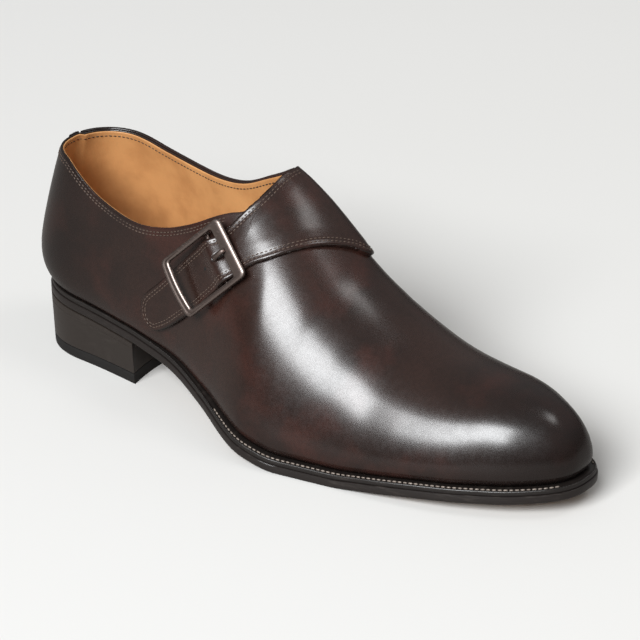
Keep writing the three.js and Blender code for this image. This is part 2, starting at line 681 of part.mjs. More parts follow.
// The inner quarter and the strap that grows out of it, across the instep and down to its rounded tip
function quarterStrapGeometry() {
  const shell = new Shell();
  const tip = [0, 0.03, 0.1, 0.22, 0.4, 0.65].map((t) => STRAP_TIP + t * TIP_REACH);
  const apex = [0.45, 0.7, 0.88, 0.97, 1].map((t) => STRAP_APEX - (1 - t) * TIP_REACH);
  const shared = [...closing(THROAT, apex[0], 7, 1), ...apex];
  const between = (low) => upperStations.filter((x) => x > low && x < THROAT - 1e-6);
  const halved = (xs) => xs.flatMap((x, i) => (i ? [(xs[i - 1] + x) / 2, x] : [x]));
  const behind = halved([...between(STRAP_TIP + 0.8 * TIP_REACH), THROAT]).slice(0, -1);
  const outerXs = [...tip, ...behind, ...shared];
  const nose = [0.25, 0.5, 0.75, 0.93, 1].map((t) => STRAP_APEX + (STRAP_NOSE - STRAP_APEX) * t);
  const innerXs = [QUARTER_START, ...between(QUARTER_START + 1), ...shared, ...nose];
  const rowsOf = { "-1": 2 * ROWS, 1: ROWS };
  const column = (x, side) => {
    const at = x / LENGTH;
    const low = side < 0 ? outerFront(at) : innerFront(at);
    const outerHigh = x >= THROAT ? 0 : Math.max(outerRear(at), 0);
    const innerHigh = x > STRAP_APEX + 1e-6 ? Math.max(innerRear(at), 0) : shareOf(endTurn(x, side));
    const high = side < 0 ? outerHigh : innerHigh;
    return rowShares(Math.max(low, 0), high, rowsOf[side]).map((share) => overlaySkins(x, side, share));
  };
  const sheet = (xs, side) => {
    const rows = rowsOf[side];
    const columns = xs.map((x) => column(x, side));
    const face = (a, b, c, d) => (side < 0 ? shell.quad(a, b, c, d) : shell.quad(d, c, b, a));
    for (let k = 0; k < xs.length - 1; k += 1) {
      const [here, next] = [columns[k], columns[k + 1]];
      for (let j = 0; j < rows; j += 1) {
        face(here[j][0], next[j][0], next[j + 1][0], here[j + 1][0]);
        face(here[j + 1][1], next[j + 1][1], next[j][1], here[j][1]);
      }
      face(here[0][1], next[0][1], next[0][0], here[0][0]);
      const joined = xs[k] > THROAT - 1e-6 && xs[k] < STRAP_APEX - 1e-6; // the two sides meet at the crest
      if (!joined) face(here[rows][0], next[rows][0], next[rows][1], here[rows][1]);
    }
    const back = columns[0];
    for (let j = 0; j < rows; j += 1) face(back[j + 1][1], back[j][1], back[j][0], back[j + 1][0]);
  };
  sheet(outerXs, -1);
  sheet(innerXs, 1);
  return shell.geometry();
}

// A three.js geometry as a manifold, for joins and cuts
function solid(geometry) {
  const plain = geometry.clone();
  plain.deleteAttribute("normal");
  plain.deleteAttribute("uv");
  const merged = mergeVertices(plain.index ? plain.toNonIndexed() : plain, 1e-5);
  return new wasm.Manifold(
    new wasm.Mesh({
      numProp: 3,
      vertProperties: new Float32Array(merged.attributes.position.array),
      triVerts: new Uint32Array(merged.index.array),
    }),
  );
}

function fromSolid(manifold) {
  const mesh = manifold.getMesh();
  const geometry = new THREE.BufferGeometry();
  geometry.setAttribute("position", new THREE.BufferAttribute(new Float32Array(mesh.vertProperties), 3));
  geometry.setIndex(new THREE.BufferAttribute(new Uint32Array(mesh.triVerts), 1));
  return geometry;
}

function roundedRectangle(path, left, right, bottom, top, radius) {
  path.moveTo(left + radius, bottom);
  path.lineTo(right - radius, bottom);
  path.absarc(right - radius, bottom + radius, radius, -Math.PI / 2, 0, false);
  path.lineTo(right, top - radius);
  path.absarc(right - radius, top - radius, radius, 0, Math.PI / 2, false);
  path.lineTo(left + radius, top);
  path.absarc(left + radius, top - radius, radius, Math.PI / 2, Math.PI, false);
  path.lineTo(left, bottom + radius);
  path.absarc(left + radius, bottom + radius, radius, Math.PI, 1.5 * Math.PI, false);
  return path;
}

// The buckle's four bars in one frame, with the pivot bar and the two ears that carry it under the strap
function buckleGeometry() {
  const bevel = BUCKLE_DEPTH / 4;
  const [halfLength, halfWidth] = [BUCKLE_LENGTH / 2, BUCKLE_WIDTH / 2];
  const outline = roundedRectangle(
    new THREE.Shape(),
    bevel - halfLength,
    halfLength - bevel,
    bevel - halfWidth,
    halfWidth - bevel,
    BUCKLE_CORNER - bevel,
  );
  const [left, right] = [REAR_BAR - halfLength - bevel, halfLength - FRONT_BAR + bevel];
  const half = halfWidth - SIDE_BAR + bevel;
  outline.holes.push(roundedRectangle(new THREE.Path(), left, right, -half, half, WINDOW_CORNER));
  const bars = new THREE.ExtrudeGeometry(outline, {
    depth: BUCKLE_DEPTH - 2 * bevel,
    bevelThickness: bevel,
    bevelSize: bevel,
    bevelSegments: 1,
    curveSegments: 4,
  });
  bars.translate(0, 0, bevel - BUCKLE_DEPTH / 2);
  let frame = solid(bars);
  const across = pivotEnds[1].clone().sub(pivotEnds[0]);
  pivotEnds.forEach((end) => {
    const top = -BUCKLE_DEPTH / 4;
    const bottom = end.z - PIVOT_RADIUS / 2;
    const ear = new THREE.BoxGeometry(4 * PIVOT_RADIUS, SIDE_BAR - 2 * bevel, top - bottom);
    ear.translate(end.x, end.y, (top + bottom) / 2);
    frame = frame.add(solid(ear));
  });
  const pivot = new THREE.CylinderGeometry(PIVOT_RADIUS, PIVOT_RADIUS, across.length(), 12);
  pivot.rotateX(Math.atan2(across.z, across.y));
  pivot.translate(pivotMiddle.x, pivotMiddle.y, pivotMiddle.z);
  frame = frame.add(solid(pivot));
  return fromSolid(frame).applyMatrix4(buckleToShoe);
}

// A closed rod along a row of points, each with its own radius
function rod(points, radii, sides) {
  const shell = new Shell();
  const rings = points.map((point, k) => {
    const before = points[Math.max(k - 1, 0)];
    const after = points[Math.min(k + 1, points.length - 1)];
    const along = after.clone().sub(before).normalize();
    const across = new THREE.Vector3(0, 1, 0);
    const up = new THREE.Vector3().crossVectors(along, across).normalize();
    return Array.from({ length: sides }, (_, i) => {
      const angle = (2 * Math.PI * i) / sides;
      const ring = point.clone().addScaledVector(across, radii[k] * Math.cos(angle));
      return ring.addScaledVector(up, radii[k] * Math.sin(angle));
    });
  });
  for (let i = 0; i < sides; i += 1) {
    const next = (i + 1) % sides;
    for (let k = 0; k < rings.length - 1; k += 1) {
      shell.quad(rings[k][i], rings[k][next], rings[k + 1][next], rings[k + 1][i]);
    }
    shell.triangle(points[0], rings[0][next], rings[0][i]);
    shell.triangle(points[points.length - 1], rings[rings.length - 1][i], rings[rings.length - 1][next]);
  }
  return shell.geometry();
}

// The prong comes out of the strap over the pivot bar and rests on the front bar
function prongGeometry() {
  const rest = BUCKLE_DEPTH / 2 + GAP + PRONG_RADIUS;
  const root = pivotMiddle.z + PIVOT_RADIUS + GAP + STRAP + 2 * GAP + PRONG_RADIUS;
  const inner = BUCKLE_LENGTH / 2 - FRONT_BAR;
  const tip = BUCKLE_LENGTH / 2 - FRONT_BAR / 3;
  const round = PRONG_RADIUS / 2; // length over which either end draws in
  const points = [
    new THREE.Vector3(PIVOT_AT - PRONG_RADIUS, 0, root),
    new THREE.Vector3(PIVOT_AT - PRONG_RADIUS + round, 0, root),
    new THREE.Vector3((PIVOT_AT + inner) / 2, 0, Math.max(root, rest)),
    new THREE.Vector3(inner, 0, rest + GAP / 2),
    new THREE.Vector3((inner + tip) / 2, 0, rest),
    new THREE.Vector3(tip - round, 0, rest),
    new THREE.Vector3(tip, 0, rest),
  ];
  const radii = [0.6, 1, 1, 1, 1, 0.95, 0.5].map((share) => share * PRONG_RADIUS);
  return rod(points, radii, 10).applyMatrix4(buckleToShoe);
}

addPiece("outsole", outsoleGeometry(), LOOK.edge);
addPiece("welt", weltGeometry(), LOOK.edge);
addPiece("heel_stack", heelStackGeometry(), LOOK.edge);
addPiece("heel_top_piece", topPieceGeometry(), LOOK.rubber);
addPiece("insole", insoleGeometry(), LOOK.insole);
addPiece("upper", upperGeometry(), LOOK.upper);
addPiece("quarter_strap", quarterStrapGeometry(), LOOK.upper);
addPiece("buckle_frame", buckleGeometry(), LOOK.metal);
addPiece("buckle_prong", prongGeometry(), LOOK.metal);

// The origin lies on the floor under the middle of the whole shoe
const bounds = new THREE.Box3().setFromObject(group);
const middle = bounds.getCenter(new THREE.Vector3());
group.children.forEach((mesh) => mesh.geometry.translate(-middle.x, -middle.y, -bounds.min.z));

export default group;
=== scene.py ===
"""Looks of a right-foot monk strap shoe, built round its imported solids, in metres."""

import logging
import math
from dataclasses import dataclass, field
from enum import Enum
from typing import Callable

import bmesh
import bpy
import numpy as np
from mathutils import Matrix, Vector


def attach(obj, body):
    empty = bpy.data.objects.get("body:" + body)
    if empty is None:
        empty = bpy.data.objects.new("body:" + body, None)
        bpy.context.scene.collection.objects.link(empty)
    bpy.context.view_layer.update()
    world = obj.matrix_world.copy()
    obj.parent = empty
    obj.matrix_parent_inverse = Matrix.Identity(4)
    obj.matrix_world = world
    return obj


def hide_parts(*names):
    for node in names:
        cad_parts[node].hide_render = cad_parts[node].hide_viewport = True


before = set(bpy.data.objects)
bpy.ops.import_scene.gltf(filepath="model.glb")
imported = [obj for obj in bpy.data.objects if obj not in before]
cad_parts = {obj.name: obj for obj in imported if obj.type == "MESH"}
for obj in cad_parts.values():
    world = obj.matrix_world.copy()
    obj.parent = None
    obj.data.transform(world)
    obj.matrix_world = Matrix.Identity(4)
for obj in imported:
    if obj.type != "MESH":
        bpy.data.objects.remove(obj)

Array = np.ndarray
Colour = tuple[float, float, float]
Height = Callable[[Array], Array]
Offset = Callable[[Array, Array], Array]
Run = tuple[Array, Array]
Socket = bpy.types.NodeSocket
Material = bpy.types.Material
Piece = bpy.types.Object
LOG = logging.getLogger("shoe")
MM = 0.001
ORIGIN = (150.9647, -6.73, 0.0)  # the frame's origin, in millimetres from the back end of the outsole
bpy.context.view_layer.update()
EDGE_INK_AND_SLOT_SHADE = (0.006, 0.005, 0.004)  # the colour of inked cut edges, and of the painted shade in the prong's slot


@dataclass(frozen=True)
class Line:
    """A smooth line through one column of a table, against shares of the length."""

    at: Array
    value: Array

    def __call__(self, at: Array) -> Array:
        """The line's values at some shares of the length.

        Args:
            at: shares of the length.

        Returns:
            The values there.
        """
        last = len(self.at) - 1
        steps = np.arange(last + 1)
        after, before = np.minimum(steps + 1, last), np.maximum(steps - 1, 0)
        slope = (self.value[after] - self.value[before]) / (self.at[after] - self.at[before])
        x = np.clip(at, self.at[0], self.at[-1])
        i = np.clip(np.searchsorted(self.at, x, side="left") - 1, 0, last - 1)
        span = self.at[i + 1] - self.at[i]
        t = (x - self.at[i]) / span
        rise = self.value[i + 1] - self.value[i]
        bend = (slope[i] * span - rise) * (1 - t) - (slope[i + 1] * span - rise) * t
        return self.value[i] + rise * t + t * (1 - t) * bend


@dataclass(frozen=True)
class Table:
    """A short table with named columns; its first column is the share of the length."""

    columns: tuple[str, ...]
    rows: tuple[tuple[float, ...], ...]

    def line(self, name: str) -> Line:
        """The smooth line through the column of that name."""
        cells = np.array(self.rows, float)
        return Line(cells[:, 0], cells[:, self.columns.index(name)])

    def row(self, index: int) -> dict[str, float]:
        """One row, by column name."""
        return dict(zip(self.columns, self.rows[index]))


# Middle line and half width of the outsole, as shares of the ball and heel widths
OUTLINE = Table(("at", "middle", "ball", "heel"), (
    (0.0, -0.003, 0, 0.98), (0.134, 0.002, 0, 1.0), (0.232, -0.03, 0, 0.974), (0.32, -0.07, 0.2, 0.62),
    (0.402, -0.097, 0.58, 0.2), (0.5, -0.12, 0.925, 0), (0.556, -0.1, 0.985, 0), (0.598, -0.067, 1.0, 0),
    (0.68, -0.026, 0.974, 0), (0.761, -0.01, 0.896, 0), (0.843, 0.01, 0.776, 0), (0.908, 0.024, 0.616, 0),
    (0.958, 0.037, 0.49, 0), (1.0, 0.05, 0.43, 0),
))
# Underside of the outsole in front of the heel, as shares of the heel pitch and of the toe spring
SOLE_RISE = Table(("at", "pitch", "spring"), (
    (0.232, 0.775, 0), (0.32, 0.6, 0), (0.402, 0.397, 0), (0.5, 0.165, 0), (0.556, 0.042, 0), (0.588, 0, 0),
    (0.673, 0, 0), (0.712, 0, 0.14), (0.794, 0, 0.44), (0.876, 0, 0.64), (0.941, 0, 0.78), (1.0, 0, 1),
))
# Crest of the last: height and shift to the inner side, with the powers that round each section
SECTIONS = Table(("at", "crest", "shift", "side", "top"), (
    (0.0, 1.17, 0.0, 2.4, 2.2), (0.16, 1.17, 0.0, 2.4, 2.2), (0.25, 1.17, 0.0, 2.4, 2.2),
    (0.34, 1.15, 0.015, 2.2, 2.1), (0.39, 1.11, 0.04, 2.1, 2.0), (0.438, 1.057, 0.065, 2.0, 1.9),
    (0.467, 1.008, 0.075, 1.95, 1.88), (0.503, 0.937, 0.08, 1.95, 1.88), (0.533, 0.867, 0.08, 1.95, 1.88),
    (0.565, 0.782, 0.08, 2.0, 1.9), (0.598, 0.698, 0.078, 2.05, 1.95), (0.634, 0.63, 0.073, 2.1, 2.0),
    (0.673, 0.567, 0.067, 2.15, 2.05), (0.716, 0.514, 0.06, 2.15, 2.05), (0.761, 0.478, 0.052, 2.2, 2.1),
    (0.81, 0.46, 0.05, 2.2, 2.15), (0.856, 0.45, 0.05, 2.3, 2.25), (0.89, 0.437, 0.05, 2.5, 2.5),
    (1.0, 0.37, 0.05, 2.9, 2.8),
))
# How far the upper swells out over its foot, and how high the swell sits
SWELL = Table(("at", "outer", "inner", "rise"), (
    (0.0, 2.58, 2.58, 1.0), (0.12, 1.42, 1.42, 1.0), (0.25, 1.08, 1.0, 0.88), (0.4, 1.0, 1.17, 0.71),
    (0.55, 1.0, 1.0, 0.53), (0.75, 0.92, 0.92, 0.41), (1.0, 1.08, 1.08, 0.47),
))
# Height of the collar on either side, as shares of the back height
COLLAR = Table(("at", "outer", "inner"), (
    (0.0, 1.0, 1.0), (0.07, 0.985, 0.995), (0.095, 0.95, 0.99), (0.123, 0.9, 0.977), (0.152, 0.86, 0.957),
    (0.2, 0.822, 0.937), (0.248, 0.81, 0.925), (0.297, 0.835, 0.932), (0.343, 0.889, 0.957),
    (0.389, 0.96, 1.02), (0.41, 0.985, 1.05), (0.425, 0.996, 1.075), (0.434, 1.006, 1.088),
    (0.44, 1.025, 1.097), (0.446, 1.06, 1.106), (0.45098, 1.1167, 1.1167),
))
# Front and rear edges of the inner quarter, as shares of the way from the crest down to the foot
INNER_QUARTER = Table(("at", "front", "rear"), (
    (0.02, 0.99, 0), (0.4, 0.99, 0), (0.406, 0.985, 0), (0.43, 0.894, 0), (0.468, 0.744, 0),
    (0.513, 0.55, 0), (0.536, 0.443, 0), (0.553, 0.35, 0), (0.566, 0.26, 0), (0.571, 0.22, 0),
    (0.575, 0.18, 0.035), (0.578, 0.13, 0.09), (0.5785, 0.11, 0.11),
))
# The same for the strap on the outer side
OUTER_STRAP = Table(("at", "front", "rear"), (
    (0.262, 0.905, 0.905), (0.2645, 0.928, 0.88), (0.272, 0.943, 0.855), (0.286, 0.949, 0.824),
    (0.301, 0.938, 0.79), (0.333, 0.885, 0.705), (0.386, 0.76, 0.54), (0.412, 0.68, 0.458),
    (0.434, 0.605, 0.323), (0.446, 0.562, 0.2), (0.451, 0.544, 0), (0.469, 0.475, 0), (0.496, 0.387, 0),
    (0.519, 0.292, 0), (0.537, 0.2, 0), (0.553, 0.105, 0), (0.563, 0.045, 0), (0.571, 0, 0),
))
# Soft troughs (negative depth) and ridges of the upper: place, way (negative on the outer side), reach
# along the way, width and depth in millimetres, and how far the line leans forward
CREASES = Table(("at", "way", "reach", "width", "depth", "lean"), (
    (0.592, -0.42, 0.2, 5.0, -0.14, -22), (0.612, -0.16, 0.13, 5.4, 0.15, -30),
    (0.63, -0.5, 0.22, 6.0, -0.2, -16), (0.668, -0.4, 0.26, 6.5, 0.22, -8),
    (0.7, -0.48, 0.22, 6.0, -0.24, 4), (0.636, 0.4, 0.22, 5.0, -0.28, -14),
    (0.672, 0.42, 0.24, 5.6, -0.24, 0), (0.3, -0.72, 0.2, 9.0, -0.35, 10), (0.2, -0.6, 0.22, 12.0, 0.25, 0),
))


def smoothstep(value: Array, low: float, high: float) -> Array:
    """A soft step from 0 at the low value to 1 at the high one."""
    t = np.clip((value - low) / (high - low), 0, 1)
    return t * t * (3 - 2 * t)


def end_share(distance: Array, reach: float, power: float) -> Array:
    """Share of the full width at a distance from a rounded tip, 1 once the reach is passed."""
    t = np.clip(distance / reach, 0, 1)
    return np.power(np.clip(1 - np.power(1 - t, power), 0, 1), 1 / power)


def unit(vectors: Array) -> Array:
    """Vectors brought to length one."""
    return vectors / np.maximum(np.linalg.norm(vectors, axis=-1, keepdims=True), 1e-12)


def placed(points: Array) -> Array:
    """Points in millimetres from the outsole's back end, put in the frame in metres."""
    return (points - np.array(ORIGIN)) * MM


def eased(count: int, power: float) -> Array:
    """Shares from 0 to 1, without the first, that crowd towards the end."""
    return 1 - (1 - np.linspace(0, 1, count)[1:]) ** power


@dataclass
class Last:
    """The last's surface in millimetres. A place on it is a station and a way: the way is 0 on the crest
    and runs to -1 at the foot of the outer side and to 1 at the foot of the inner side."""

    length: float = 306.0
    ball_width: float = 100.0
    heel_width: float = 61.0
    heel_pitch: float = 29.0
    toe_spring: float = 9.0
    instep_height: float = 112.0
    back_height: float = 104.0
    heel_round: float = 34.0
    toe_round: float = 34.0
    throat: float = 138.0
    throat_fade: float = 4.0  # the rounded rim of the collar fades out over this distance
    outsole: float = 4.2
    welt: float = 2.1
    gap: float = 0.3
    ledge_front: float = 5.0
    ledge_heel: float = 1.6
    swell_out: float = 2.4
    swell_rise: float = 17.0
    heel_power: float = 2.25
    toe_power: float = 2.6
    fan_heel: tuple[float, float] = (0.105, 0.154)
    fan_toe: tuple[float, float] = (0.778, 0.882)
    quarter: float = 1.3
    quarter_start: float = 0.4
    lines: dict[str, Line] = field(default_factory=dict)

    def __post_init__(self) -> None:
        """Draws the smooth lines through the tables' columns."""
        tables = {
            "outline": OUTLINE, "rise": SOLE_RISE, "section": SECTIONS, "swell": SWELL,
            "collar": COLLAR, "quarter": INNER_QUARTER, "strap": OUTER_STRAP,
        }
        for name, table in tables.items():
            for column in table.columns[1:]:
                self.lines[f"{name}_{column}"] = table.line(column)

    @property
    def foot_rise(self) -> float:
        """Height of the upper's foot above the outsole's underside."""
        return self.outsole + self.welt + 2 * self.gap

    def edge_y(self, x: Array, side: Array) -> Array:
        """The outsole's edge at each station, on side -1 (outer) or 1 (inner)."""
        at = x / self.length
        ends = end_share(x, self.heel_round, self.heel_power)
        ends = ends * end_share(self.length - x, self.toe_round, self.toe_power)
        ball = self.lines["outline_ball"](at) * self.ball_width
        half = (ball + self.lines["outline_heel"](at) * self.heel_width) / 2
        return self.lines["outline_middle"](at) * self.ball_width + side * half * ends

    def inset(self, x: Array, side: Array, amount: Array) -> Run:
        """The outline drawn in."""
        step = 0.02
        ahead, behind = np.minimum(x + step, self.length), np.maximum(x - step, 0)
        dx, dy = ahead - behind, self.edge_y(ahead, side) - self.edge_y(behind, side)
        back, front = x <= step, x >= self.length - step
        dx = np.where(back | front, 0.0, dx)
        dy = np.where(back, side, np.where(front, -side, dy))
        size = np.hypot(dx, dy)
        return x + dy / size * side * amount, self.edge_y(x, side) - dx / size * side * amount

    def sole_rise(self, x: Array) -> Array:
        """Height of the outsole's underside above the floor at each station."""
        at = np.asarray(x) / self.length
        first = SOLE_RISE.row(0)
        heel = self.heel_pitch * (1 - (1 - first["pitch"]) * at / first["at"])
        pitch = np.maximum(self.lines["rise_pitch"](at), 0)
        spring = np.maximum(self.lines["rise_spring"](at), 0)
        return np.where(at < first["at"], heel, self.heel_pitch * pitch + self.toe_spring * spring)

    def ledge(self, x: Array) -> Array:
        """Width from the outsole's edge to the foot of the upper at each station."""
        step = smoothstep(x / self.length, 0.2, 0.56)
        return self.ledge_heel + (self.ledge_front - self.ledge_heel) * step

    def crest_station(self, x: Array) -> Array:
        """The crest station that a section leans to, since sections fan out at both ends."""
        at = np.clip(x / self.length, 0, 1)
        start, end = self.fan_heel
        heel = start + (end - start) * np.power(np.minimum(at / end, 1), end / (end - start))
        low, high = self.fan_toe
        t = np.clip((1 - at) / (1 - low), 0, 1)
        toe = high - (high - low) * np.power(t, (1 - low) / (high - low))
        return self.length * np.where(at < end, heel, np.where(at > low, toe, at))

    def crest_height(self, x: Array) -> Array:
        """Height of the crest at each station."""
        return self.instep_height * self.lines["section_crest"](x / self.length)

    def point(self, x: Array, way: Array) -> Array:
        """Points on the last.

        Args:
            x: stations in millimetres.
            way: the ways, from -1 to 1.

        Returns:
            The points, with a last axis of three.
        """
        x, way = np.broadcast_arrays(np.asarray(x, float), np.asarray(way, float))
        side = np.where(way < 0, -1.0, 1.0)
        turn = (1 - np.clip(np.abs(way), 0, 1)) * math.pi / 2
        foot_x, foot_y = self.inset(x, side, self.ledge(x))
        foot_z = self.sole_rise(foot_x) + self.foot_rise
        top, at = self.crest_station(x), x / self.length
        crest_y = self.lines["section_shift"](top / self.length) * self.ball_width
        slope = self.crest_height(top + 0.5) - self.crest_height(top - 0.5)
        inward = 1 - np.power(np.maximum(np.cos(turn), 0), 2 / self.lines["section_side"](at))
        upward = np.power(np.maximum(np.sin(turn), 0), 2 / self.lines["section_top"](at))
        lean = slope * (top - foot_x)
        z = foot_z + (self.crest_height(top) - foot_z - lean) * upward + lean * inward
        flat_x, flat_y = top - foot_x, crest_y - foot_y
        height = np.maximum(z - foot_z, 0) / (self.swell_rise * self.lines["swell_rise"](at))
        out = np.where(side < 0, self.lines["swell_outer"](at), self.lines["swell_inner"](at))
        swell = self.swell_out * out * height * np.exp(1 - height) * (1 - inward)
        move = inward - swell / np.hypot(flat_x, flat_y)
        return np.stack([foot_x + flat_x * move, foot_y + flat_y * move, z], -1)

    def normal(self, x: Array, way: Array) -> Array:
        """Outward normals of the last.

        Args:
            x: stations.
            way: the ways.

        Returns:
            Unit vectors, with a last axis of three.
        """
        x, way = np.broadcast_arrays(np.asarray(x, float), np.asarray(way, float))
        step, bend = 0.35, 0.008
        side = np.where(way < 0, -1.0, 1.0)
        across = self.point(x, np.clip(way + bend, -1, 1)) - self.point(x, np.clip(way - bend, -1, 1))
        along = self.point(np.minimum(x + step, self.length), way) - self.point(np.maximum(x - step, 0), way)
        near = np.clip(x, step, self.length - step)
        end = self.point(near, np.abs(way)) - self.point(near, -np.abs(way))
        back, front = x <= 1e-6, x >= self.length - 1e-6
        turned = np.where(back, side, -side)[..., None] * end
        along = np.where((back | front)[..., None], turned, along)
        normal = np.cross(along, across)
        low = np.abs(way) > 0.999
        normal[..., 2] = np.where(low, 0.0, normal[..., 2])
        return unit(normal)

    def skin(self, x: Array, way: Array, offset: Array) -> Array:
        """Points at a distance outwards from the last, in millimetres."""
        return self.point(x, way) + self.normal(x, way) * np.asarray(offset)[..., None]

    def collar_way(self, x: Array, side: float) -> Array:
        """Where each section ends at the collar.

        Args:
            x: stations.
            side: -1 or 1.

        Returns:
            The unsigned ways, 0 in front of the throat.
        """
        low, high = np.zeros_like(x), np.ones_like(x)
        line = self.lines["collar_outer" if side < 0 else "collar_inner"]
        for _ in range(30):
            share = (low + high) / 2
            point = self.point(x, side * np.maximum(share, 1e-9))
            at = point[..., 0] / self.length
            collar = np.where(x <= 0, self.lines["collar_inner"](at), line(at))
            below = point[..., 2] < self.back_height * collar
            low, high = np.where(below, low, share), np.where(below, share, high)
        return np.where(x >= self.throat, 0.0, (low + high) / 2)

    def below(self, x: Array, side: float, way: Array, drop: Array) -> Array:
        """Ways a distance further down the sides."""
        near, far = 0.001, 0.01
        step = self.point(x, side * (way + far)) - self.point(x, side * (way + near))
        return way + drop / (np.linalg.norm(step, axis=-1) / (far - near))

    def sink(self, x: Array, way: Array) -> Array:
        """How far the upper is sunk under the inner quarter at each place."""
        start = smoothstep(x, self.quarter_start / 4, self.quarter_start)
        fade = 1 - smoothstep(x / self.throat, 0.15, 0.95)
        return np.where(way < 0, 0.0, (self.gap + self.quarter) * start * fade)

    def stations(self, ends: int, back: int, front: int) -> Array:
        """Stations along the shoe, closer at the ends and behind the throat."""
        turn = np.arange(ends) / ends * math.pi / 2
        heel = self.heel_round * (1 - np.cos(turn))
        behind = self.throat - (self.throat - self.heel_round) * np.power(1 - np.arange(back) / back, 1.8)
        ahead = np.linspace(self.throat, self.length - self.toe_round, front, endpoint=False)
        toe = self.length - self.toe_round * (1 - np.sin(np.arange(ends + 1) / ends * math.pi / 2))
        return np.concatenate([heel, behind, ahead, toe])

    def moved(self, x: Array, way: Array, target: Array) -> Run:
        """The places on the last nearest some points close to it.

        Args:
            x: first stations.
            way: first ways.
            target: the points.

        Returns:
            The stations and ways found.
        """
        along, across = 0.2, 0.004
        for _ in range(6):
            base = self.point(x, way)
            dx = (self.point(x + along, way) - self.point(x - along, way)) / (2 * along)
            dw = (self.point(x, way + across) - self.point(x, way - across)) / (2 * across)
            left = target - base
            a, b, c = (dx * dx).sum(-1), (dx * dw).sum(-1), (dw * dw).sum(-1)
            p, q = (dx * left).sum(-1), (dw * left).sum(-1)
            bottom = np.maximum(a * c - b * b, 1e-9)
            x = np.clip(x + (p * c - q * b) / bottom, 0.5, self.length - 0.5)
            way = np.clip(way + (q * a - p * b) / bottom, -1, 1)
        return x, way


@dataclass(frozen=True)
class Path:
    """A line drawn on the last, by its stations and ways."""

    x: Array
    way: Array

    def inset(self, last: Last, amount: float) -> "Path":
        """The line moved to its right-hand side, seen from outside, by some millimetres."""
        points = last.point(self.x, self.way)
        tangent = unit(np.gradient(points, axis=0))
        side = unit(np.cross(tangent, last.normal(self.x, self.way)))
        return Path(*last.moved(self.x, self.way, points + side * amount))

    def cut(self, keep: Array) -> "Path":
        """The part of the line where keep is true."""
        return Path(self.x[keep], self.way[keep])

    def smoothed(self) -> "Path":
        """The line with its small kinks eased."""
        kernel = np.array([1, 3, 5, 3, 1]) / 13.0
        x, way = self.x.copy(), self.way.copy()
        x[2:-2] = np.convolve(self.x, kernel, "valid")
        way[2:-2] = np.convolve(self.way, kernel, "valid")
        return Path(x, way)

    def lifted(self, last: Last, offset: Offset) -> Run:
        """Points and upward vectors of the line on a surface at an offset from the last."""
        return last.skin(self.x, self.way, offset(self.x, self.way)), last.normal(self.x, self.way)


class Shell:
    """Gathers grids of points into one mesh, with a shade value at each point."""

    def __init__(self) -> None:
        """Starts with nothing."""
        self.points: list[Array] = []
        self.shades: list[Array] = []
        self.quads: list[Array] = []
        self.count = 0

    def grid(self, points: Array, flip: bool = False, shade: Array | None = None) -> None:
        """Adds a grid of quads."""
        rows, columns = points.shape[:2]
        index = self.count + np.arange(rows * columns).reshape(rows, columns)
        quads = np.stack([index[:-1, :-1], index[1:, :-1], index[1:, 1:], index[:-1, 1:]], -1)
        quads = quads.reshape(-1, 4)
        self.quads.append(quads[:, ::-1] if flip else quads)
        self.points.append(points.reshape(-1, 3))
        self.shades.append(np.zeros(rows * columns) if shade is None else shade.reshape(-1))
        self.count += rows * columns

    def build(self, name: str, material: Material, sharp: float = 50.0) -> Piece:
        """Makes the object in the frame.

        Args:
            name: the piece's name.
            material: its material.
            sharp: the angle in degrees past which an edge stays sharp.

        Returns:
            The object.
        """
        mesh = bpy.data.meshes.new(name)
        mesh.from_pydata(placed(np.concatenate(self.points)), [], np.concatenate(self.quads).tolist())
        shade = mesh.attributes.new("shade", "FLOAT", "POINT")
        shade.data.foreach_set("value", np.concatenate(self.shades).astype(np.float32))
        body = bmesh.new()
        body.from_mesh(mesh)
        bmesh.ops.remove_doubles(body, verts=body.verts, dist=1e-6)
        bmesh.ops.dissolve_degenerate(body, edges=body.edges, dist=1e-7)
        bmesh.ops.recalc_face_normals(body, faces=body.faces)
        if body.calc_volume(signed=True) < 0:
            bmesh.ops.reverse_faces(body, faces=body.faces)
        open_edges = sum(1 for edge in body.edges if len(edge.link_faces) != 2)
        body.to_mesh(mesh)
        body.free()
        mesh.shade_smooth()
        mesh.set_sharp_from_angle(angle=math.radians(sharp))
        mesh.materials.append(material)
        piece = add_object(name, mesh)
        LOG.info("%s: %d faces, %d open edges", name, len(mesh.polygons), open_edges)
        return piece


def add_object(name: str, data: bpy.types.ID) -> Piece:
    """Makes an object and links it to the scene."""
    piece = bpy.data.objects.new(name, data)
    bpy.context.scene.collection.objects.link(piece)
    return piece


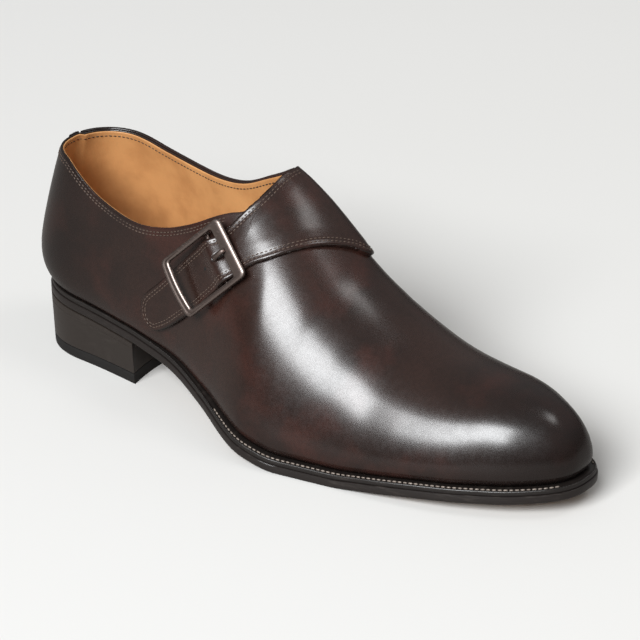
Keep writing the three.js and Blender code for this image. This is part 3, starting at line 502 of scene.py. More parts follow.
@dataclass
class Wall:
    """A sheet of leather on the last, between an outer and an inner offset."""

    last: Last
    outer: Offset
    inner: Offset

    def add(
        self, shell: Shell, x: Array, low: Array, high: Array, rows: Array,
        rim: Array | None = None, joined: Array | None = None, shade: Offset | None = None,
    ) -> None:
        """Adds one side of the sheet.

        Args:
            shell: gathers the faces.
            x: stations.
            low: ways of the lower edge.
            high: ways of the upper edge.
            rows: shares of the way from the lower edge to the upper.
            rim: how far the upper edge bulges at each station, or none for a flat edge.
            joined: true for each step between stations where the upper edge meets the other side.
            shade: the shade at places on the last.
        """
        stations = x[:, None] + 0 * rows[None]
        ways = low[:, None] + (high - low)[:, None] * rows[None]
        outside = self.last.skin(stations, ways, self.outer(stations, ways))
        inside = self.last.skin(stations, ways, self.inner(stations, ways))
        value = None if shade is None else shade(stations, ways)
        flip = low[len(low) // 2] < 0
        shell.grid(outside, not flip, value)
        shell.grid(inside, flip, value)
        shell.grid(np.stack([outside[:, 0], inside[:, 0]], 1), flip)
        edge = self._rim(outside, inside, np.zeros(len(x)) if rim is None else rim)
        for start, stop in self._runs(joined, len(x)):
            shell.grid(edge[start:stop], not flip)

    def close(self, shell: Shell, x: float, low: float, high: float, rows: Array) -> None:
        """Closes the sheet's end at one station, with the same rows as in add."""
        ways = low + (high - low) * rows
        outside = self.last.skin(x, ways, self.outer(x + 0 * ways, ways))
        inside = self.last.skin(x, ways, self.inner(x + 0 * ways, ways))
        shell.grid(np.stack([outside, inside]))

    @staticmethod
    def _rim(outside: Array, inside: Array, bulge: Array) -> Array:
        """Points round the upper edge, from the outer skin to the inner."""
        angles = np.linspace(0, math.pi, 7)
        middle = (outside[:, -1] + inside[:, -1]) / 2
        half = (outside[:, -1] - inside[:, -1]) / 2
        up = unit(outside[:, -1] - outside[:, -2])
        out = middle[:, None] + half[:, None] * np.cos(angles)[None, :, None]
        return out + (up * bulge[:, None])[:, None] * np.sin(angles)[None, :, None]

    @staticmethod
    def _runs(joined: Array | None, count: int) -> list[tuple[int, int]]:
        """The runs of stations whose upper edge is open."""
        free = np.ones(count - 1, bool) if joined is None else ~joined
        change = np.flatnonzero(np.diff(np.concatenate([[False], free, [False]]).astype(int)))
        return [(int(start), int(stop) + 1) for start, stop in zip(change[::2], change[1::2])]


class Graph:
    """A node tree with short ways to add and link nodes."""

    def __init__(self, tree: bpy.types.NodeTree) -> None:
        """Keeps the tree."""
        self.tree = tree

    def feed(self, socket: Socket, value: object) -> None:
        """Links a socket to another one, or sets its value."""
        if isinstance(value, Socket):
            self.tree.links.new(value, socket)
        else:
            socket.default_value = value

    def add(self, kind: str, inputs: dict | None = None, **settings: object) -> bpy.types.Node:
        """Adds a node."""
        node = self.tree.nodes.new(kind)
        for name, value in settings.items():
            setattr(node, name, value)
        for name, value in (inputs or {}).items():
            self.feed(node.inputs[name], value)
        return node

    def maths(self, operation: str, first: object, second: object = 0.0) -> Socket:
        """The result of a Math node with two values or sockets."""
        return self.add("ShaderNodeMath", {0: first, 1: second}, operation=operation).outputs[0]

    def mix(self, factor: object, first: object, second: object) -> Socket:
        """Mixes two colours, or sockets, by a factor of the second."""
        return self.add("ShaderNodeMix", {0: factor, 6: first, 7: second}, data_type="RGBA").outputs[2]

    def band(self, value: object, low: float, high: float, start: float = 0, end: float = 1) -> Socket:
        """Brings a value softly from the range low to high into the range start to end."""
        inputs = {0: value, 1: low, 2: high, 3: start, 4: end}
        return self.add("ShaderNodeMapRange", inputs, interpolation_type="SMOOTHSTEP").outputs[0]

    def noise(self, vector: object, scale: object, detail: float = 2.0) -> Socket:
        """A noise with some features in a metre and some finer layers."""
        inputs = {"Vector": vector, "Scale": scale, "Detail": detail}
        return self.add("ShaderNodeTexNoise", inputs).outputs[0]

    def place(self) -> Socket:
        """The object's own coordinates."""
        return self.add("ShaderNodeTexCoord").outputs["Object"]


def rgba(colour: Colour) -> tuple[float, float, float, float]:
    """A colour with full opacity."""
    return (*colour, 1.0)


class Effect(Enum):
    """The shared surface effects."""

    GRAIN = "leather_grain"
    PATINA = "leather_patina"
    WEAR = "edge_wear"


@dataclass
class Effects:
    """Builds each shared effect once, as a node group. Scales are features in a metre."""

    groups: dict[Effect, bpy.types.NodeTree] = field(default_factory=dict)
    warp_scale: float = 240.0
    warp_reach: float = 0.0015
    pebble_scale: float = 320.0
    pebble_share: float = 0.55
    bump_height: float = 0.0004
    cloud_scale: float = 17.0
    warm_scale: float = 31.0
    speck_scale: float = 620.0
    patch_scale: float = 22.0
    streak_stretch: float = 7.0

    def __post_init__(self) -> None:
        """Builds the groups."""
        self._grain()
        self._patina()
        self._wear()

    def _new(
        self, effect: Effect, inputs: dict[str, float | Colour], outputs: tuple[tuple[str, str], ...],
    ) -> tuple[Graph, Callable[[str], Socket], bpy.types.Node]:
        """Starts a group.

        Args:
            effect: which effect it is.
            inputs: name and default of each input, a number or a colour.
            outputs: name and kind of each output.

        Returns:
            The graph, a way to its inputs by name, and its output node.
        """
        tree = bpy.data.node_groups.new(effect.value, "ShaderNodeTree")
        self.groups[effect] = tree
        for label, value in inputs.items():
            kind = "Float" if isinstance(value, float) else "Color"
            socket = tree.interface.new_socket(label, in_out="INPUT", socket_type=f"NodeSocket{kind}")
            socket.default_value = value if isinstance(value, float) else rgba(value)
        for label, kind in outputs:
            tree.interface.new_socket(label, in_out="OUTPUT", socket_type=f"NodeSocket{kind}")
        graph = Graph(tree)
        given = graph.add("NodeGroupInput")
        return graph, given.outputs.__getitem__, graph.add("NodeGroupOutput")

    def _grain(self) -> None:
        """Fine pores and pebbles of smooth leather, as a normal and a value."""
        inputs = {"Pore Scale": 900.0, "Depth": 0.1}
        graph, given, out = self._new(Effect.GRAIN, inputs, (("Normal", "Vector"), ("Value", "Float")))
        place = graph.place()
        wave = graph.add("ShaderNodeTexNoise", {"Vector": place, "Scale": self.warp_scale, "Detail": 2.0})
        reach = (self.warp_reach,) * 3
        drift = graph.add("ShaderNodeVectorMath", {0: wave.outputs["Color"], 1: reach}, operation="MULTIPLY")
        moved = graph.add("ShaderNodeVectorMath", {0: place, 1: drift.outputs[0]}, operation="ADD").outputs[0]
        cells = graph.add("ShaderNodeTexVoronoi", {"Vector": moved, "Scale": given("Pore Scale")})
        pores = graph.maths("MULTIPLY", graph.band(cells.outputs["Distance"], 0.0, 0.7), self.pebble_share)
        pebbles = graph.maths("MULTIPLY", graph.noise(moved, self.pebble_scale, 3.0), self.pebble_share)
        value = graph.maths("ADD", pores, pebbles)
        inputs = {"Height": value, "Strength": given("Depth"), "Distance": self.bump_height}
        graph.feed(out.inputs["Normal"], graph.add("ShaderNodeBump", inputs).outputs[0])
        graph.feed(out.inputs["Value"], value)

    def _patina(self) -> None:
        """Hand-polished colour: deep clouds, warm glow, and a darker toe and heel."""
        inputs = {
            "Base": (0.05, 0.03, 0.02), "Deep": (0.01, 0.008, 0.007), "Glow": (0.09, 0.03, 0.02),
            "Toe": 0.1, "Heel": -0.11,
        }
        graph, given, out = self._new(Effect.PATINA, inputs, (("Color", "Color"),))
        place = graph.place()
        clouds = graph.band(graph.noise(place, self.cloud_scale, 4.0), 0.36, 0.66)
        warm = graph.band(graph.noise(place, self.warm_scale, 3.0), 0.48, 0.72, 0.0, 0.75)
        speck = graph.band(graph.noise(place, self.speck_scale, 2.0), 0.35, 0.7, 0.0, 0.22)
        along = graph.add("ShaderNodeSeparateXYZ", {0: place}).outputs["X"]
        toe = graph.band(graph.maths("SUBTRACT", along, given("Toe")), -0.02, 0.045, 0.0, 0.72)
        heel = graph.band(graph.maths("SUBTRACT", given("Heel"), along), -0.03, 0.04, 0.0, 0.75)
        colour = graph.mix(graph.maths("MULTIPLY", clouds, 0.55), given("Base"), given("Deep"))
        colour = graph.mix(warm, colour, given("Glow"))
        colour = graph.mix(graph.maths("ADD", toe, heel), colour, given("Deep"))
        graph.feed(out.inputs["Color"], graph.mix(speck, colour, given("Deep")))

    def _wear(self) -> None:
        """Faint scuffs and fine streaks on painted edges, as a mask."""
        graph, given, out = self._new(Effect.WEAR, {"Scale": 160.0, "Amount": 0.4}, (("Mask", "Float"),))
        place = graph.place()
        stretch = {"Vector": place, "Scale": (1.0, 1.0, self.streak_stretch)}
        flat = graph.add("ShaderNodeMapping", stretch).outputs[0]
        streak = graph.band(graph.noise(flat, given("Scale"), 4.0), 0.5, 0.74)
        patch = graph.band(graph.noise(place, self.patch_scale, 2.0), 0.4, 0.65)
        mask = graph.maths("MULTIPLY", graph.maths("MULTIPLY", streak, patch), given("Amount"))
        graph.feed(out.inputs["Mask"], mask)


class Surface:
    """A material in the making: its graph, its shader and the shared effects."""

    def __init__(self, name: str, effects: Effects | None = None) -> None:
        """Starts the material of that name."""
        self.effects = effects
        self.material = bpy.data.materials.new(name)
        self.material.use_nodes = True
        self.graph = Graph(self.material.node_tree)
        self.shader = self.material.node_tree.nodes["Principled BSDF"]

    def use(self, effect: Effect, **inputs: object) -> Callable[[str], Socket]:
        """Places an effect and gives a way to its outputs; an input's name has _ for a space."""
        node = self.graph.add("ShaderNodeGroup", node_tree=self.effects.groups[effect])
        for name, value in inputs.items():
            node.inputs[name.replace("_", " ")].default_value = value
        return node.outputs.__getitem__

    def shade(self) -> Socket:
        """The shade value stored in the mesh."""
        return self.graph.add("ShaderNodeAttribute", attribute_name="shade").outputs["Fac"]

    def finish(self, **inputs: object) -> Material:
        """Feeds the shader's inputs, named with _ for a space, and gives the material."""
        for name, value in inputs.items():
            self.graph.feed(self.shader.inputs[name.replace("_", " ")], value)
        return self.material


@dataclass(frozen=True)
class Leather:
    """Polished calf with a hand-rubbed patina."""

    name: str
    base: Colour
    deep: Colour
    glow: Colour
    roughness: float
    coat: float
    pores: float
    depth: float
    coat_roughness: float = 0.19

    def material(self, effects: Effects) -> Material:
        """Makes the material from the shared effects."""
        surface = Surface(self.name, effects)
        patina = surface.use(Effect.PATINA, Base=rgba(self.base), Deep=rgba(self.deep), Glow=rgba(self.glow))
        grain = surface.use(Effect.GRAIN, Pore_Scale=self.pores, Depth=self.depth)
        low, high = self.roughness - 0.05, self.roughness + 0.07
        # the stored shade value mixes in the edge ink and the painted shade of the prong's slot
        return surface.finish(
            Base_Color=surface.graph.mix(surface.shade(), patina("Color"), rgba(EDGE_INK_AND_SLOT_SHADE)),
            Roughness=surface.graph.band(grain("Value"), 0.3, 1.1, low, high),
            Normal=grain("Normal"), Coat_Weight=self.coat, Coat_Roughness=self.coat_roughness,
        )


@dataclass(frozen=True)
class Painted:
    """Painted and waxed edges of soles, welts and heels."""

    name: str
    base: Colour
    worn: Colour
    roughness: float
    coat: float
    coat_roughness: float = 0.2

    def material(self, effects: Effects) -> Material:
        """Makes the material from the shared effects."""
        surface = Surface(self.name, effects)
        mask = surface.use(Effect.WEAR, Scale=170.0, Amount=0.55)("Mask")
        grain = surface.use(Effect.GRAIN, Pore_Scale=1500.0, Depth=0.05)
        return surface.finish(
            Base_Color=surface.graph.mix(mask, rgba(self.base), rgba(self.worn)),
            Roughness=surface.graph.band(mask, 0.0, 0.5, self.roughness, self.roughness + 0.2),
            Normal=grain("Normal"), Coat_Weight=self.coat, Coat_Roughness=self.coat_roughness,
        )


@dataclass(frozen=True)
class Metal:
    """Satin dark plating on the buckle, lighter where worn and with a painted highlight on its bevels."""

    name: str
    base: Colour
    wear_and_painted_highlight: Colour
    roughness: float

    def material(self, effects: Effects) -> Material:
        """Makes the material from the shared effects."""
        surface = Surface(self.name, effects)
        graph, wear = surface.graph, surface.use(Effect.WEAR, Scale=420.0, Amount=0.8)("Mask")
        # the mask joins lighter wear with the painted highlight stored on the bevels
        mask = graph.maths("MAXIMUM", graph.maths("MULTIPLY", wear, 0.5), surface.shade())
        return surface.finish(
            Base_Color=graph.mix(mask, rgba(self.base), rgba(self.wear_and_painted_highlight)),
            Roughness=graph.band(wear, 0.0, 0.6, self.roughness, self.roughness + 0.12), Metallic=1.0,
        )


@dataclass(frozen=True)
class Plain:
    """Thread and undyed leather: a colour with fine variation."""

    name: str
    light: Colour
    dark: Colour
    roughness: float
    scale: float
    depth: float

    def material(self, effects: Effects) -> Material:
        """Makes the material from the shared effects."""
        surface = Surface(self.name, effects)
        graph = surface.graph
        mottle = graph.band(graph.noise(graph.place(), self.scale, 4.0), 0.35, 0.68)
        grain = surface.use(Effect.GRAIN, Pore_Scale=700.0, Depth=self.depth)
        low, high = self.roughness - 0.05, self.roughness + 0.08
        return surface.finish(
            Base_Color=graph.mix(mottle, rgba(self.light), rgba(self.dark)),
            Roughness=graph.band(mottle, 0.0, 1.0, low, high), Normal=grain("Normal"),
        )


class Finish(Enum):
    """The finishes of the shoe, from the photo."""

    UPPER = Leather(
        "dark_brown_calf", (0.0245, 0.0115, 0.0086), (0.005, 0.003, 0.0026), (0.045, 0.0145, 0.0102),
        0.25, 0.22, 2100.0, 0.03,
    )
    LINING = Plain("tan_lining", (0.6, 0.3, 0.115), (0.48, 0.225, 0.08), 0.46, 60.0, 0.12)
    SOCK = Plain("tan_sock", (0.5, 0.26, 0.1), (0.4, 0.19, 0.07), 0.5, 45.0, 0.12)
    SOLE_EDGE = Painted("dark_sole_edge", (0.013, 0.0095, 0.0085), (0.035, 0.027, 0.022), 0.34, 0.2)
    WELT = Painted("dark_welt", (0.011, 0.0085, 0.0075), (0.035, 0.027, 0.022), 0.38, 0.15)
    HEEL = Painted("dark_heel_edge", (0.022, 0.0165, 0.0135), (0.042, 0.033, 0.027), 0.4, 0.2)
    RUBBER = Painted("black_heel_rubber", (0.008, 0.0072, 0.0068), (0.022, 0.019, 0.017), 0.55, 0.0)
    SOLE_FACE = Plain("natural_sole_leather", (0.52, 0.3, 0.14), (0.4, 0.21, 0.09), 0.42, 40.0, 0.2)
    THREAD = Plain("brown_thread", (0.1, 0.067, 0.05), (0.06, 0.04, 0.031), 0.45, 900.0, 0.2)
    WELT_THREAD = Plain("welt_thread", (0.27, 0.225, 0.19), (0.16, 0.13, 0.108), 0.35, 900.0, 0.2)
    LINING_THREAD = Plain("lining_thread", (0.03, 0.018, 0.012), (0.02, 0.012, 0.01), 0.5, 900.0, 0.2)
    # its second colour is the lighter wear and the painted highlight of the bevels
    METAL = Metal("dark_plated_steel", (0.22, 0.172, 0.155), (0.33, 0.275, 0.25), 0.37)


class Wardrobe:
    """Makes each finish's material once and hands it out."""

    def __init__(self) -> None:
        """Builds the effects and the materials."""
        effects = Effects()
        self.materials = {finish: finish.value.material(effects) for finish in Finish}

    def __getitem__(self, finish: Finish) -> Material:
        """The material of a finish."""
        return self.materials[finish]


@dataclass(frozen=True)
class Stitch:
    """Sizes of a stitch in millimetres: pitch of the row, and length, width and height of one."""

    pitch: float = 2.15
    length: float = 1.75
    width: float = 0.62
    height: float = 0.5


@dataclass
class Stitcher:
    """Lays a row of small forms along paths with Geometry Nodes."""

    seed: int = 7
    uneven: tuple[float, float] = (0.92, 1.06)
    segments: int = 8
    rings: int = 5
    tree: bpy.types.NodeTree | None = None
    sockets: dict[str, str] = field(default_factory=dict)

    def __post_init__(self) -> None:
        """Builds the node tree."""
        self.tree = tree = bpy.data.node_groups.new("stitch_run", "GeometryNodeTree")
        sockets = {"Geometry": "Geometry", "Pitch": "Float", "Length": "Float", "Width": "Float",
                   "Height": "Float", "Seed": "Int", "Material": "Material"}
        for label, kind in sockets.items():
            made = tree.interface.new_socket(label, in_out="INPUT", socket_type=f"NodeSocket{kind}")
            self.sockets[label] = made.identifier
        tree.interface.new_socket("Geometry", in_out="OUTPUT", socket_type="NodeSocketGeometry")
        graph = Graph(tree)
        given = graph.add("NodeGroupInput").outputs
        curve = graph.add("GeometryNodeMeshToCurve", {"Mesh": given["Geometry"]})
        inputs = {"Curve": curve.outputs[0], "Length": given["Pitch"]}
        spaced = graph.add("GeometryNodeResampleCurve", inputs, mode="LENGTH")
        up = graph.add("GeometryNodeInputNamedAttribute", {"Name": "up"}, data_type="FLOAT_VECTOR")
        inputs = {"Vector": graph.add("GeometryNodeInputTangent").outputs[0]}
        along = graph.add("FunctionNodeAlignRotationToVector", inputs, axis="X")
        inputs = {"Rotation": along.outputs[0], "Vector": up.outputs[0]}
        turned = graph.add("FunctionNodeAlignRotationToVector", inputs, axis="Z", pivot_axis="X")
        inputs = {"Segments": self.segments, "Rings": self.rings, "Radius": 0.5}
        bead = graph.add("GeometryNodeMeshUVSphere", inputs)
        uneven = graph.add("FunctionNodeRandomValue", {"Seed": given["Seed"]}, data_type="FLOAT")
        uneven.inputs[2].default_value, uneven.inputs[3].default_value = self.uneven
        size = graph.add("ShaderNodeCombineXYZ", {0: given["Length"], 1: given["Width"], 2: given["Height"]})
        inputs = {0: size.outputs[0], 3: uneven.outputs[1]}
        scaled = graph.add("ShaderNodeVectorMath", inputs, operation="SCALE")
        copies = graph.add("GeometryNodeInstanceOnPoints", {
            "Points": spaced.outputs[0], "Instance": bead.outputs[0],
            "Rotation": turned.outputs[0], "Scale": scaled.outputs[0],
        })
        real = graph.add("GeometryNodeRealizeInstances", {0: copies.outputs[0]})
        smooth = graph.add("GeometryNodeSetShadeSmooth", {"Geometry": real.outputs[0]})
        inputs = {"Geometry": smooth.outputs[0], "Material": given["Material"]}
        graph.add("NodeGroupOutput", {0: graph.add("GeometryNodeSetMaterial", inputs).outputs[0]})

    def sew(self, name: str, runs: list[Run], material: Material, stitch: Stitch) -> Piece:
        """Sews along several paths.

        Args:
            name: the piece's name.
            runs: points in millimetres and upward vectors of each path.
            material: the thread's material.
            stitch: the stitch's sizes.

        Returns:
            The finished piece, a plain mesh.
        """
        edges, start = [], 0
        for points, _ in runs:
            edges += [(start + k, start + k + 1) for k in range(len(points) - 1)]
            start += len(points)
        mesh = bpy.data.meshes.new(name)
        mesh.from_pydata(placed(np.concatenate([run[0] for run in runs])), edges, [])
        attribute = mesh.attributes.new("up", "FLOAT_VECTOR", "POINT")
        ups = np.concatenate([run[1] for run in runs])
        attribute.data.foreach_set("vector", ups.astype(np.float32).ravel())
        piece = add_object(name, mesh)
        modifier = piece.modifiers.new("stitches", "NODES")
        modifier.node_group = self.tree
        for label in ("Pitch", "Length", "Width", "Height"):
            modifier[self.sockets[label]] = getattr(stitch, label.lower()) * MM
        modifier[self.sockets["Seed"]] = self.seed
        modifier[self.sockets["Material"]] = material
        ready = piece.evaluated_get(bpy.context.evaluated_depsgraph_get())
        plain = bpy.data.meshes.new_from_object(ready)
        piece.modifiers.clear()
        piece.data = plain
        LOG.info("%s: %d faces", name, len(plain.polygons))
        return piece


@dataclass
class Buckle:
    """The fastened buckle: a frame of four bars, a pivot bar under the strap and a prong. Its own frame
    has u along the strap to the front bar, v across it and n outwards; sizes are in millimetres."""

    last: Last
    at: float = 0.397
    share: float = 0.615
    lean: float = 0.1
    turn: float = 45.8
    length: float = 40.0
    width: float = 30.5
    depth: float = 2.2
    corner: float = 2.6
    window_corner: float = 1.2
    lift: float = 5.2
    front_bar: float = 6.3
    rear_bar: float = 4.5
    side_bar: float = 2.7
    pivot_radius: float = 0.9
    pivot_at: float = 6.5
    prong_radius: float = 1.15
    strap: float = 2.4
    rear_bow: float = 1.1
    rear_arch: float = 0.5
    groove: tuple[float, float, float] = (0.42, 0.45, 0.13)  # depth, place across the bar, width
    # how far the bars' bevels go to the lighter plating colour: a painted highlight
    bevel_painted_highlight: float = 0.55
    # A bar's section from the outer edge to the inner: share of the way across, share of half the depth
    section: tuple[tuple[float, float], ...] = (
        (0.0, -0.45), (0.0, 0.25), (0.05, 0.62), (0.15, 0.88), (0.3, 0.98), (0.42, 1.0), (0.5, 1.0),
        (0.58, 1.0), (0.7, 0.98), (0.85, 0.88), (0.95, 0.62), (1.0, 0.25), (1.0, -0.45), (0.85, -0.92),
        (0.5, -1.0), (0.15, -0.92), (0.0, -0.45),
    )
    basis: Array = field(init=False)
    centre: Array = field(init=False)
    pivot_ends: Array = field(init=False)

    def __post_init__(self) -> None:
        """Finds the buckle's place on the last."""
        x, way = np.array(self.at * self.last.length), np.array(-self.share)
        skin = self.last.normal(x, way)
        ahead = unit(np.array([1.0, 0, 0]) - skin * skin[0])
        n = unit(skin + ahead * self.lean)
        level = unit(ahead - n * (ahead @ n))
        angle = math.radians(self.turn)
        u = level * math.cos(angle) + np.cross(n, level) * math.sin(angle)
        self.basis = np.stack([u, np.cross(n, u), n])
        self.centre = self.last.skin(x, way, np.array(self.lift))
        tops = np.array([[self.pivot_at, end * (self.width - self.side_bar) / 2, 0] for end in (-1, 1)])
        drop = [self.last.gap + self.pivot_radius - self._stand_off(top) for top in tops]
        self.pivot_ends = tops + np.array([[0, 0, z] for z in drop])

    def world(self, local: Array) -> Array:
        """Points of the buckle's own frame, brought onto the shoe."""
        return self.centre + local @ self.basis

    def local(self, points: Array) -> Array:
        """Points of the shoe in the buckle's own frame."""
        return (points - self.centre) @ self.basis.T

    def _stand_off(self, local: Array) -> float:
        """Distance of a point in the buckle's frame from the last."""
        point = self.world(local)
        at, share, reach, drop = self.at, self.share, 0.05, 0.2
        for _ in range(5):
            places, shares = np.meshgrid(
                np.linspace(at - reach, at + reach, 31), np.linspace(share - drop, share + drop, 31)
            )
            away = np.linalg.norm(self.last.point(places * self.last.length, -shares) - point, axis=-1)
            best = np.unravel_index(np.argmin(away), away.shape)
            at, share = places[best], shares[best]
            reach, drop = reach / 6, drop / 6
        return float(away.min())

    def strap_rise(self, points: Array) -> Array:
        """How far the strap rises over the pivot bar at points of the last."""
        away = (self.local(points)[..., 0] - self.pivot_at) / (5 * self.pivot_radius)
        near = np.where(points[..., 1] < 0, np.exp(-away * away), 0.0)
        return 2 * (self.pivot_radius + self.last.gap) * near

    @staticmethod
    def _rectangle(left: float, right: float, half: float, radius: float, steps: int) -> Array:
        """A rounded rectangle as points, the same number on each side and corner.

        Args:
            left: lower end along the strap.
            right: upper end along the strap.
            half: half width across the strap.
            radius: corner radius.
            steps: points on each side and on each corner.

        Returns:
            The points.
        """
        corners = [
            (right - radius, half - radius, 0), (left + radius, half - radius, 90),
            (left + radius, radius - half, 180), (right - radius, radius - half, 270),
        ]
        points = []
        for k, (cx, cy, start) in enumerate(corners):
            for i in range(steps):
                angle = math.radians(start + 90 * i / steps)
                points.append((cx + radius * math.cos(angle), cy + radius * math.sin(angle)))
            nx, ny, _ = corners[(k + 1) % 4]
            angle = math.radians(start + 90)
            first = np.array([cx + radius * math.cos(angle), cy + radius * math.sin(angle)])
            last = np.array([nx + radius * math.cos(angle), ny + radius * math.sin(angle)])
            points += [tuple(first + (last - first) * i / steps) for i in range(steps)]
        return np.array(points)

    def frame_piece(self, wardrobe: Wardrobe) -> Piece:
        """The four bars with rounded faces, the rear bar bowed and ridged, the pivot bar and its ears.

        Args:
            wardrobe: the materials.

        Returns:
            The piece.
        """
        steps, half, end = 10, self.width / 2, self.length / 2
        outer = self._rectangle(-end, end, half, self.corner, steps)
        inner = self._rectangle(
            self.rear_bar - end, end - self.front_bar, half - self.side_bar, self.window_corner, steps
        )
        depth, place, spread = self.groove
        rings, shades = [], []
        for across, height in self.section:
            flat = outer + (inner - outer) * across
            rear = smoothstep(-flat[:, 0], end - 2.2 * self.rear_bar, end - self.rear_bar)
            arch = np.clip(1 - (flat[:, 1] / half) ** 2, 0, 1)
            top = self.depth / 2 * height
            ridge = -depth * math.exp(-(((across - place) / spread) ** 2)) * rear if height > 0.9 else 0.0
            bow = self.rear_bow * arch * rear
            lift = top + ridge + self.rear_arch * arch * rear
            rings.append(np.column_stack([flat[:, 0] - bow, flat[:, 1], lift]))
            # the bevel rings get the painted highlight
            shades.append(np.full(len(flat), self.bevel_painted_highlight if 0.6 < height < 0.9 else 0.0))
        grid, shade = np.stack(rings), np.stack(shades)
        shell = Shell()
        closed = np.concatenate([grid, grid[:, :1]], 1)
        shell.grid(self.world(closed), shade=np.concatenate([shade, shade[:, :1]], 1))
        self._rod(shell, self.pivot_ends, np.full(2, self.pivot_radius))
        for foot in self.pivot_ends:
            ear = np.array([foot - [0, 0, self.pivot_radius], [foot[0], foot[1], 0.0]])
            self._rod(shell, ear, np.full(2, self.side_bar / 2 - 0.2))
        return shell.build("buckle_bars", wardrobe[Finish.METAL], 40.0)

    def _rod(self, shell: Shell, points: Array, radii: Array, flat: float = 1.0) -> None:
        """Adds a closed round bar.

        Args:
            shell: gathers the faces.
            points: its middle line in the buckle's frame.
            radii: radius at each point.
            flat: height as a share of the width.
        """
        along = unit(np.gradient(points, axis=0))
        steady = np.array([0.0, 1.0, 0.0]) if abs(along[0][1]) < 0.7 else np.array([1.0, 0, 0])
        first = unit(np.cross(along, steady))
        second = np.cross(along, first)
        angles = np.linspace(0, 2 * math.pi, 25)
        ring = first[:, None] * np.cos(angles)[None, :, None] * flat
        ring = ring + second[:, None] * np.sin(angles)[None, :, None]
        body = points[:, None] + ring * radii[:, None, None]
        caps = [np.repeat(points[k:][:1, None], 25, 1) for k in (0, -1)]
        shell.grid(self.world(np.concatenate([caps[0], body, caps[1]])))

    def prong_piece(self, wardrobe: Wardrobe) -> Piece:
        """The prong, from its slot in the strap to its rest on the front bar.

        Args:
            wardrobe: the materials.

        Returns:
            The piece.
        """
        gap, radius, steps = self.last.gap, self.prong_radius, 40
        rest = self.depth / 2 + gap / 2 + radius * 0.8
        root = self.pivot_ends.mean(0)[2] + self.pivot_radius + gap + self.strap + gap + radius * 0.7
        inner, tip = self.length / 2 - self.front_bar, self.length / 2 - self.front_bar * 0.6
        out = self.pivot_at + 3.2
        # Place along the strap, height and share of the radius
        knots = np.array([
            (self.pivot_at - radius, root - 2.6, 0.8), (self.pivot_at + 0.6, root - 2.3, 1.0),
            (self.pivot_at + 1.8, root - 0.9, 1.08), (out, root + 0.05, 1.1),
            ((out + inner) / 2, max(root, rest) + 0.1, 1.08), (inner, rest + 0.3, 1.02),
            ((inner + tip) / 2, rest + 0.1, 1.0), (tip - 0.9, rest, 1.0), (tip - 0.4, rest - 0.02, 0.92),
            (tip - 0.1, rest - 0.06, 0.7), (tip, rest - 0.08, 0.3),
        ])
        share, base = np.linspace(0, 1, steps), np.linspace(0, 1, len(knots))
        rows = np.column_stack([np.interp(share, base, knots[:, k]) for k in range(3)])
        shell = Shell()
        points = np.column_stack([rows[:, 0], np.zeros(steps), rows[:, 1]])
        self._rod(shell, points, rows[:, 2] * radius, 0.8)
        return shell.build("buckle_pin", wardrobe[Finish.METAL], 60.0)


@dataclass
class Upper:
    """Outer leather and lining of the hollow upper, in millimetres."""

    last: Last
    leather: float = 1.2
    lining: float = 0.7
    seam: float = 0.02
    rim: float = 0.7
    lining_rim: float = 0.3
    lining_drop: float = 0.35
    rows: int = 58
    row_power: float = 0.92

    def relief(self, x: Array, way: Array) -> Array:
        """Height of the soft creases at places on the last."""
        total = np.zeros(np.broadcast(x, way).shape)
        for k in range(len(CREASES.rows)):
            row = CREASES.row(k)
            along = (way - row["way"]) / row["reach"]
            centre = row["at"] * self.last.length + row["lean"] * (np.abs(way) - abs(row["way"]))
            across = (x - centre) / row["width"]
            total = total + row["depth"] * np.exp(-across * across - along * along)
        return total

    def _sides(self, wall: Wall, shell: Shell, x: Array, drop: float, bulge: float) -> None:
        """Adds both sides of one layer."""
        rows = np.linspace(0, 1, self.rows) ** self.row_power
        fade = smoothstep(self.last.throat - x, 0.0, self.last.throat_fade)
        joined = x[:-1] > self.last.throat - 1e-6
        for side in (-1.0, 1.0):
            end = self.last.below(x, side, self.last.collar_way(x, side), (drop + bulge) * fade)
            wall.add(shell, x, side * np.ones_like(x), side * end, rows, bulge * fade, joined)

    def pieces(self, wardrobe: Wardrobe) -> list[Piece]:
        """Builds the outer leather and the lining from the materials."""
        def layer(depth: float) -> Offset:
            """A skin at a depth below the upper's face."""
            return lambda x, way: -depth - self.last.sink(x, way)

        def face(x: Array, way: Array) -> Array:
            """The upper's face with its creases."""
            return self.relief(x, way) - self.last.sink(x, way)

        outer = Wall(self.last, face, layer(self.leather))
        shell = Shell()
        self._sides(outer, shell, self.last.stations(26, 62, 70), 0.0, self.rim)
        leather = shell.build("upper_leather", wardrobe[Finish.UPPER], 70.0)
        under = Wall(self.last, layer(self.leather + self.seam), layer(self.leather + self.lining))
        shell = Shell()
        self._sides(under, shell, self.last.stations(20, 44, 44), self.lining_drop, self.lining_rim)
        return [leather, shell.build("upper_lining", wardrobe[Finish.LINING], 70.0)]

    def collar_path(self, side: float, start: float, stop: float, drop: float) -> Path:
        """A line below the collar."""
        x = start + (stop - start) * np.linspace(0, 1, 240) ** 1.6
        return Path(x, side * self.last.below(x, side, self.last.collar_way(x, side), drop))


